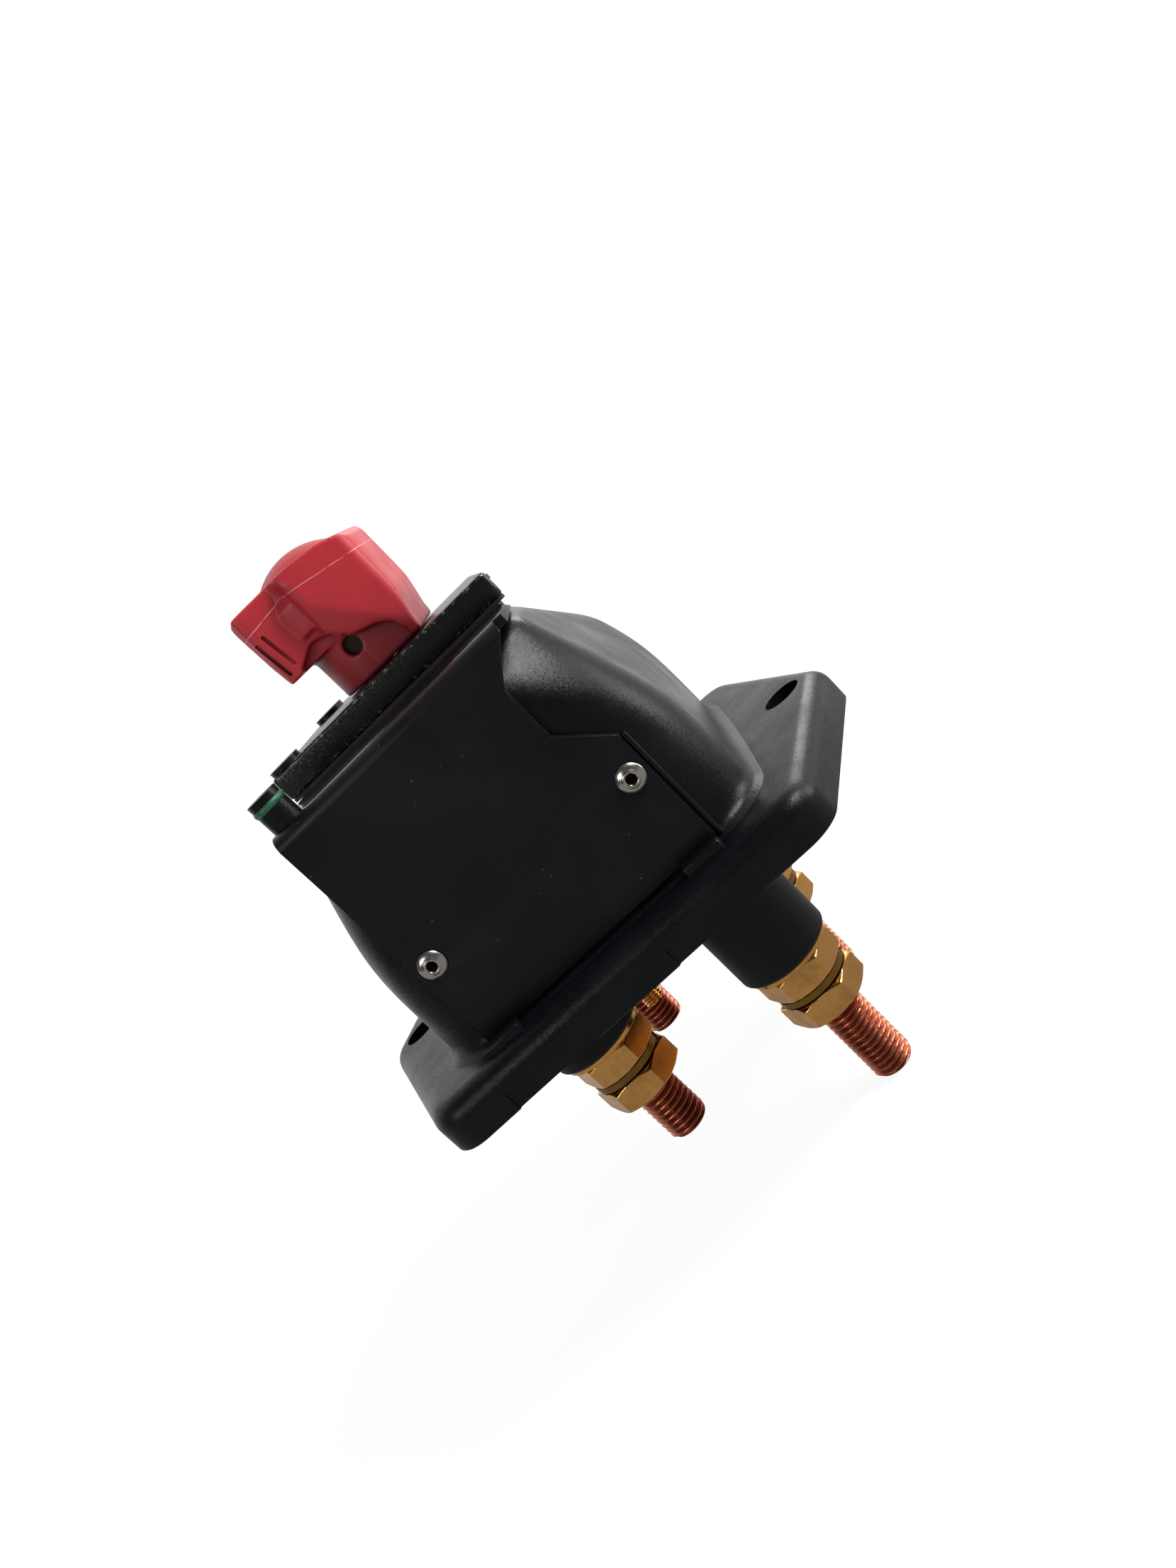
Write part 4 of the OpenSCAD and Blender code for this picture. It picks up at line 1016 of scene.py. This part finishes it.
# %% Place a part at the four terminals
def terminal_tree():
    """Geometry nodes that put a part at the four terminals, two at each height."""
    tree, given = start_tree("at four terminals", ("Pitch X", "Pitch Y", "Long Z", "Short Z"))
    right = math_node(tree, "MULTIPLY", given["Pitch X"], 0.5)
    left = math_node(tree, "MULTIPLY", right, -1.0)
    front = math_node(tree, "MULTIPLY", given["Pitch Y"], -0.5)
    step = add_node(tree, "ShaderNodeCombineXYZ", links={"Y": given["Pitch Y"]})
    pairs = []
    for x, height in ((right, given["Long Z"]), (left, given["Short Z"])):
        start = add_node(tree, "ShaderNodeCombineXYZ", links={"X": x, "Y": front, "Z": height})
        pairs.append(point_pair(tree, start, step))
    return end_tree(tree, part_at(tree, joined(tree, pairs), given["Part"]), given["Finish"])


def placed_by(tree, name, part, values):
    """Runs a tree on an empty carrier and returns the plain mesh it makes."""
    carrier = new_object(name, bpy.data.meshes.new(name))
    step = carrier.modifiers.new("place", "NODES")
    step.node_group = tree
    sockets = {item.name: item.identifier for item in tree.interface.items_tree}
    for key, value in values.items():
        step[sockets[key]] = value
    baked(carrier)
    bpy.data.objects.remove(part)
    return carrier


AT_TERMINALS = terminal_tree()
print("tree inputs", [item.name for item in AT_TERMINALS.interface.items_tree])

# %% Nuts and washers
NUT_AF = 17.0 * MM
NUT_H = 6.0 * MM
WASHER_R = 10.0 * MM
WASHER_T = 1.2 * MM
SPRING_R = 8.6 * MM
SPRING_T = 2.0 * MM
LONG_BOSS_END = -23.9 * MM
SHORT_BOSS_END = -10.3 * MM
STACK_BORE = STUD_R + 0.05 * MM
NUT_BLEND = 0.25 * MM
NUT_SINK_W, NUT_SINK_H = 0.5 * MM, 0.55 * MM
NUT_FACE_IN, NUT_CORNER_OUT = 0.2 * MM, 0.4 * MM
WASHER_RIM_R = 0.2 * MM
SPRING_RISE = 0.5 * MM
SPRING_GAP = 0.12


def turned_ring(name, profile, sides=64, hexagon=0.0):
    """Ring turned from a profile of (radius, height) points; a hexagon limits its reach."""
    angle = np.linspace(0.0, 2 * math.pi, sides, endpoint=False)
    wedge = np.mod(angle, math.pi / 3) - math.pi / 6
    rings = []
    for radius, height in profile:
        reach = np.full_like(angle, radius)
        if hexagon > 0 and radius > STACK_BORE * 1.2:
            reach = soft_min(reach, hexagon / 2 / np.cos(wedge), NUT_BLEND)
        rings.append(ring_at(height, reach, angle))
    mesh = skin_rings(rings + [rings[0]], closed_ends=False)
    return new_object(name, mesh)


def hex_nut():
    """Nut with cone-chamfered corners and a countersunk bore."""
    flat_r, corner_r = NUT_AF / 2, NUT_AF / 2 / math.cos(math.pi / 6)
    slope = math.tan(math.pi / 6)
    reach = np.linspace(flat_r - NUT_FACE_IN, corner_r + NUT_CORNER_OUT, 7)
    low = [(r, max((r - flat_r) * slope, 0.0)) for r in reach]
    profile = [(STACK_BORE, NUT_SINK_H), (STACK_BORE + NUT_SINK_W, 0.0)] + low
    profile += [(r, NUT_H - z) for r, z in reversed(profile)]
    return turned_ring("nut", profile, 96, NUT_AF)


def flat_washer():
    """Washer with slightly rounded rims."""
    soft = WASHER_RIM_R
    profile = [(STACK_BORE, soft), (STACK_BORE + soft, 0.0), (WASHER_R - soft, 0.0), (WASHER_R, soft)]
    profile += [(r, WASHER_T - z) for r, z in reversed(profile)]
    return turned_ring("washer", profile)


def spring_washer():
    """Split ring whose two ends stand slightly apart."""
    angle = np.linspace(SPRING_GAP, 2 * math.pi - SPRING_GAP, 60)
    climb = angle / (2 * math.pi) * SPRING_RISE
    thick = SPRING_T - SPRING_RISE
    rings = []
    for turn, rise in zip(angle, climb):
        section = []
        for radius, z in ((STACK_BORE, 0.0), (SPRING_R, 0.0), (SPRING_R, thick), (STACK_BORE, thick)):
            section.append((radius * math.cos(turn), radius * math.sin(turn), z + rise))
        rings.append(np.array(section))
    return new_object("spring washer", skin_rings(rings))


def place_stack(name, part, depth, material, node):
    """Places one part of the stack below all four bosses."""
    values = {
        "Pitch X": STUD_PITCH_X,
        "Pitch Y": STUD_PITCH_Y,
        "Long Z": LONG_BOSS_END - depth,
        "Short Z": SHORT_BOSS_END - depth,
        "Part": part,
        "Finish": material,
    }
    obj = placed_by(AT_TERMINALS, name, part, values)
    return finish_piece(obj, material, "body", [node], 35)


SPRING_DEPTH = WASHER_T + NUT_H + SPRING_T
place_stack("flat_brass_washers", flat_washer(), WASHER_T, brass, "flat_washers")
place_stack("inner_brass_nuts", hex_nut(), WASHER_T + NUT_H, brass, "inner_nuts")
place_stack("split_spring_washers", spring_washer(), SPRING_DEPTH, dark_brass, "spring_washers")
place_stack("outer_brass_nuts", hex_nut(), SPRING_DEPTH + NUT_H, brass, "outer_nuts")

# %% [markdown]
# ## Rivets and auxiliary screw
# The tubular rivets are turned parts with a rolled lip round a dark bore. They
# sit in two rows, front and back, so a second tree repeats one rivet along a
# line and turns the line for the back.

# %% Rivets
RIVET_X = 26.3 * MM
RIVET_Z = 30.9 * MM
RIVET_R = 3.0 * MM
RIVET_BORE = 1.1 * MM
RIVET_REACH = 9.0 * MM
RIVET_SHANK_R = 2.0 * MM


def rivet_part():
    """Tubular rivet turned about the origin, its head towards +Z."""
    lip = RIVET_BORE + 0.55 * MM
    profile = [
        (RIVET_BORE, -RIVET_REACH),
        (RIVET_SHANK_R, -RIVET_REACH),
        (RIVET_SHANK_R, 0.0),
        (RIVET_R - 0.15 * MM, 0.0),
        (RIVET_R, 0.15 * MM),
        (RIVET_R - 0.15 * MM, 0.4 * MM),
        (RIVET_R - 0.8 * MM, 0.68 * MM),
        (lip + 0.22 * MM, 0.78 * MM),
        (lip, 1.02 * MM),
        (lip - 0.2 * MM, 1.1 * MM),
        (RIVET_BORE + 0.12 * MM, 1.04 * MM),
        (RIVET_BORE, 0.8 * MM),
    ]
    part = turned_ring("rivet", profile, 48)
    part.data.transform(Matrix.Rotation(math.pi / 2, 4, "X"))
    return part


def rivet_tree():
    """Geometry nodes that place a part twice along X, and again half turned."""
    tree, given = start_tree("front and back pairs", ("Reach X", "Reach Y", "Height"))
    left = math_node(tree, "MULTIPLY", given["Reach X"], -1.0)
    near = math_node(tree, "MULTIPLY", given["Reach Y"], -1.0)
    wide = math_node(tree, "MULTIPLY", given["Reach X"], 2.0)
    start_links = {"X": left, "Y": near, "Z": given["Height"]}
    start = add_node(tree, "ShaderNodeCombineXYZ", links=start_links)
    step = add_node(tree, "ShaderNodeCombineXYZ", links={"X": wide})
    front = part_at(tree, point_pair(tree, start, step), given["Part"])
    half_turn = {"Rotation": (0.0, 0.0, math.pi)}
    back = add_node(tree, "GeometryNodeTransform", half_turn, {"Geometry": front}).outputs[0]
    return end_tree(tree, joined(tree, (front, back)), given["Finish"])


RIVET_PLACES = rivet_tree()
rivet = rivet_part()
rivet_values = {
    "Reach X": RIVET_X,
    "Reach Y": BRACKET_HALF_D,
    "Height": RIVET_Z,
    "Part": rivet,
    "Finish": nickel,
}
rivets = placed_by(RIVET_PLACES, "tubular_rivets", rivet, rivet_values)
finish_piece(rivets, nickel, "body", ["bracket_rivets"], 60)

# %% Auxiliary screw
AUX_X = -12.8 * MM
AUX_R = 2.5 * MM
AUX_PITCH = 0.8 * MM
AUX_TIP = -23.2 * MM
AUX_THREAD_DEPTH = 0.45 * MM
AUX_HEAD_R, AUX_HEAD_H = 4.0 * MM, 3.0 * MM


def build_aux_screw():
    """Threaded brass screw with its round head inside the base."""
    rod = threaded_rod("rod", AUX_R, AUX_PITCH, AUX_THREAD_DEPTH, AUX_TIP, BASE_TOP, 32)
    head = round_bar("head", AUX_HEAD_R, BASE_TOP, BASE_TOP + AUX_HEAD_H, (0.0, 0.0), 32)
    for part in (rod, head):
        part.data.transform(Matrix.Translation((AUX_X, 0.0, 0.0)))
    return join_parts("auxiliary_screw", [rod, head])


finish_piece(build_aux_screw(), brass, "body", ["aux_screw"], 50)

# %% [markdown]
# ## Finishes for the pieces that keep their construction shape
# The rest of the pieces already have their true shape, so each only gets the
# finish of its real material.

# %% Finishes of the other nodes
NODE_FINISHES = {
    "base_gasket": black_rubber,
    "base_screws": zinc_steel,
    "fixed_contacts": silver,
    "aux_washer": copper,
    "guide_rods": zinc_steel,
    "plate_gasket": fibre,
    "plate_screws": screw_steel,
    "seal_plug": black_moulding,
    "plug_ring": green_rubber,
    "shaft_bush": brass,
    "shaft_seal": black_rubber,
    "thrust_washer": zinc_steel,
    "handle_pin": screw_steel,
    "drive_shaft": zinc_steel,
    "cam_rotor": zinc_steel,
    "cam_pin": zinc_steel,
    "contact_carrier": brown_moulding,
    "bridge_contacts": copper,
    "moving_contacts": silver,
    "contact_springs": zinc_steel,
    "return_springs": zinc_steel,
}
for node_name, finish in NODE_FINISHES.items():
    for material_slot in bpy.data.objects[node_name].material_slots:
        material_slot.material = finish
print("finished nodes", len(NODE_FINISHES))

# %% [markdown]
# ## Floor, backdrop and light
# The photo is a cut-out on white. A pale floor stays under the studs, and both
# floor and world show white to the camera, while the soft lamps light the part
# at a plain level.

# %% Stage
FLOOR_Z = CAD_BOX[0].z - 0.5 * MM
FLOOR_HALF = 4.0
FLOOR_NEAR, FLOOR_FAR = 0.15, 0.6
FLOOR_SHADOWED, FLOOR_WHITE = 0.84, 1.08
FLOOR_GLOSS, FLOOR_BEHIND = 0.35, 0.35
ROOM_EDGE, BACKDROP_EDGE = -0.1, 0.55
ROOM_GLOSS = 0.06
WORLD_LIGHT = 0.3
LAMP_AIM = Vector((0.0, 0.0, 20 * MM))
LAMPS = {
    "key": ((0.72, -0.2, 0.68), (0.3, 0.3), 9.0),
    "front": ((-0.6, -0.8, 0.5), (0.5, 0.4), 2.6),
    "side": ((0.95, 0.1, 0.15), (0.3, 0.5), 4.5),
    "rim": ((0.5, 0.8, 0.5), (0.5, 0.25), 3.0),
}


def stage_material():
    """Pale floor that is white to the camera, with a faint shadow near the part."""
    material, tree, shader, place = new_material("pale floor", {"Roughness": 0.9})
    shader.inputs["Base Color"].default_value = srgb("#f2f2f2")
    path = add_node(tree, "ShaderNodeLightPath").outputs
    seen = math_node(tree, "MAXIMUM", path["Is Camera Ray"], path["Is Transmission Ray"])
    reach = vector_node(tree, "LENGTH", place)
    plain = ramp(tree, reach, FLOOR_NEAR, FLOOR_FAR, FLOOR_SHADOWED, 1.0)
    share = math_node(tree, "MULTIPLY", seen, plain)
    share = math_node(tree, "MAXIMUM", share, path["Is Glossy Ray"])
    depth = add_node(tree, "ShaderNodeSeparateXYZ", links={0: place}).outputs["Y"]
    shine = ramp(tree, depth, 0.0, FLOOR_BEHIND, FLOOR_GLOSS, 1.0)
    shine = math_node(tree, "MULTIPLY", path["Is Glossy Ray"], shine)
    level = math_node(tree, "ADD", math_node(tree, "MULTIPLY", seen, FLOOR_WHITE), shine)
    white = add_node(tree, "ShaderNodeEmission", {"Color": srgb("#ffffff")}, {"Strength": level})
    mixed = add_node(
        tree,
        "ShaderNodeMixShader",
        links={0: share, 1: shader.outputs[0], 2: white.outputs[0]},
    )
    out = tree.nodes["Material Output"]
    tree.links.new(mixed.outputs[0], out.inputs["Surface"])
    return material


def add_floor():
    """Wide pale floor just below the stud tips."""
    mesh = bpy.data.meshes.new("floor")
    turns = ((-1, -1), (1, -1), (1, 1), (-1, 1))
    corners = [(x * FLOOR_HALF, y * FLOOR_HALF, FLOOR_Z) for x, y in turns]
    mesh.from_pydata(corners, [], [(0, 1, 2, 3)])
    floor = new_object("floor", mesh)
    floor.data.materials.append(stage_material())


def add_lamp(name, place, size, power):
    """Area lamp that faces the part."""
    data = bpy.data.lights.new(name, "AREA")
    data.shape = "RECTANGLE"
    data.size, data.size_y = size
    data.energy = power
    lamp = bpy.data.objects.new(name, data)
    bpy.context.scene.collection.objects.link(lamp)
    aim = LAMP_AIM - Vector(place)
    lamp.location = place
    lamp.rotation_mode = "QUATERNION"
    lamp.rotation_quaternion = aim.to_track_quat("-Z", "Y")


def add_world():
    """White backdrop behind the part, dim room before it, softer as light."""
    world = bpy.data.worlds.new("studio")
    bpy.context.scene.world = world
    world.use_nodes = True
    tree = world.node_tree
    tree.nodes.clear()
    path = add_node(tree, "ShaderNodeLightPath").outputs
    seen = math_node(tree, "MAXIMUM", path["Is Camera Ray"], path["Is Transmission Ray"])
    look = add_node(tree, "ShaderNodeTexCoord").outputs["Generated"]
    axis = add_node(tree, "ShaderNodeSeparateXYZ", links={0: look}).outputs
    behind = ramp(tree, axis["Y"], ROOM_EDGE, BACKDROP_EDGE, ROOM_GLOSS, 1.0)
    glossy = math_node(tree, "MULTIPLY", path["Is Glossy Ray"], behind)
    plain = math_node(tree, "SUBTRACT", 1.0, path["Is Glossy Ray"])
    level = math_node(tree, "ADD", glossy, math_node(tree, "MULTIPLY", plain, WORLD_LIGHT))
    level = math_node(tree, "MAXIMUM", level, seen)
    sky = add_node(tree, "ShaderNodeBackground", {"Color": srgb("#ffffff")}, {"Strength": level})
    add_node(tree, "ShaderNodeOutputWorld", links={"Surface": sky.outputs[0]})


add_floor()
add_world()
for lamp_name, lamp_values in LAMPS.items():
    add_lamp(lamp_name, *lamp_values)
bpy.context.scene.view_settings.view_transform = "Standard"
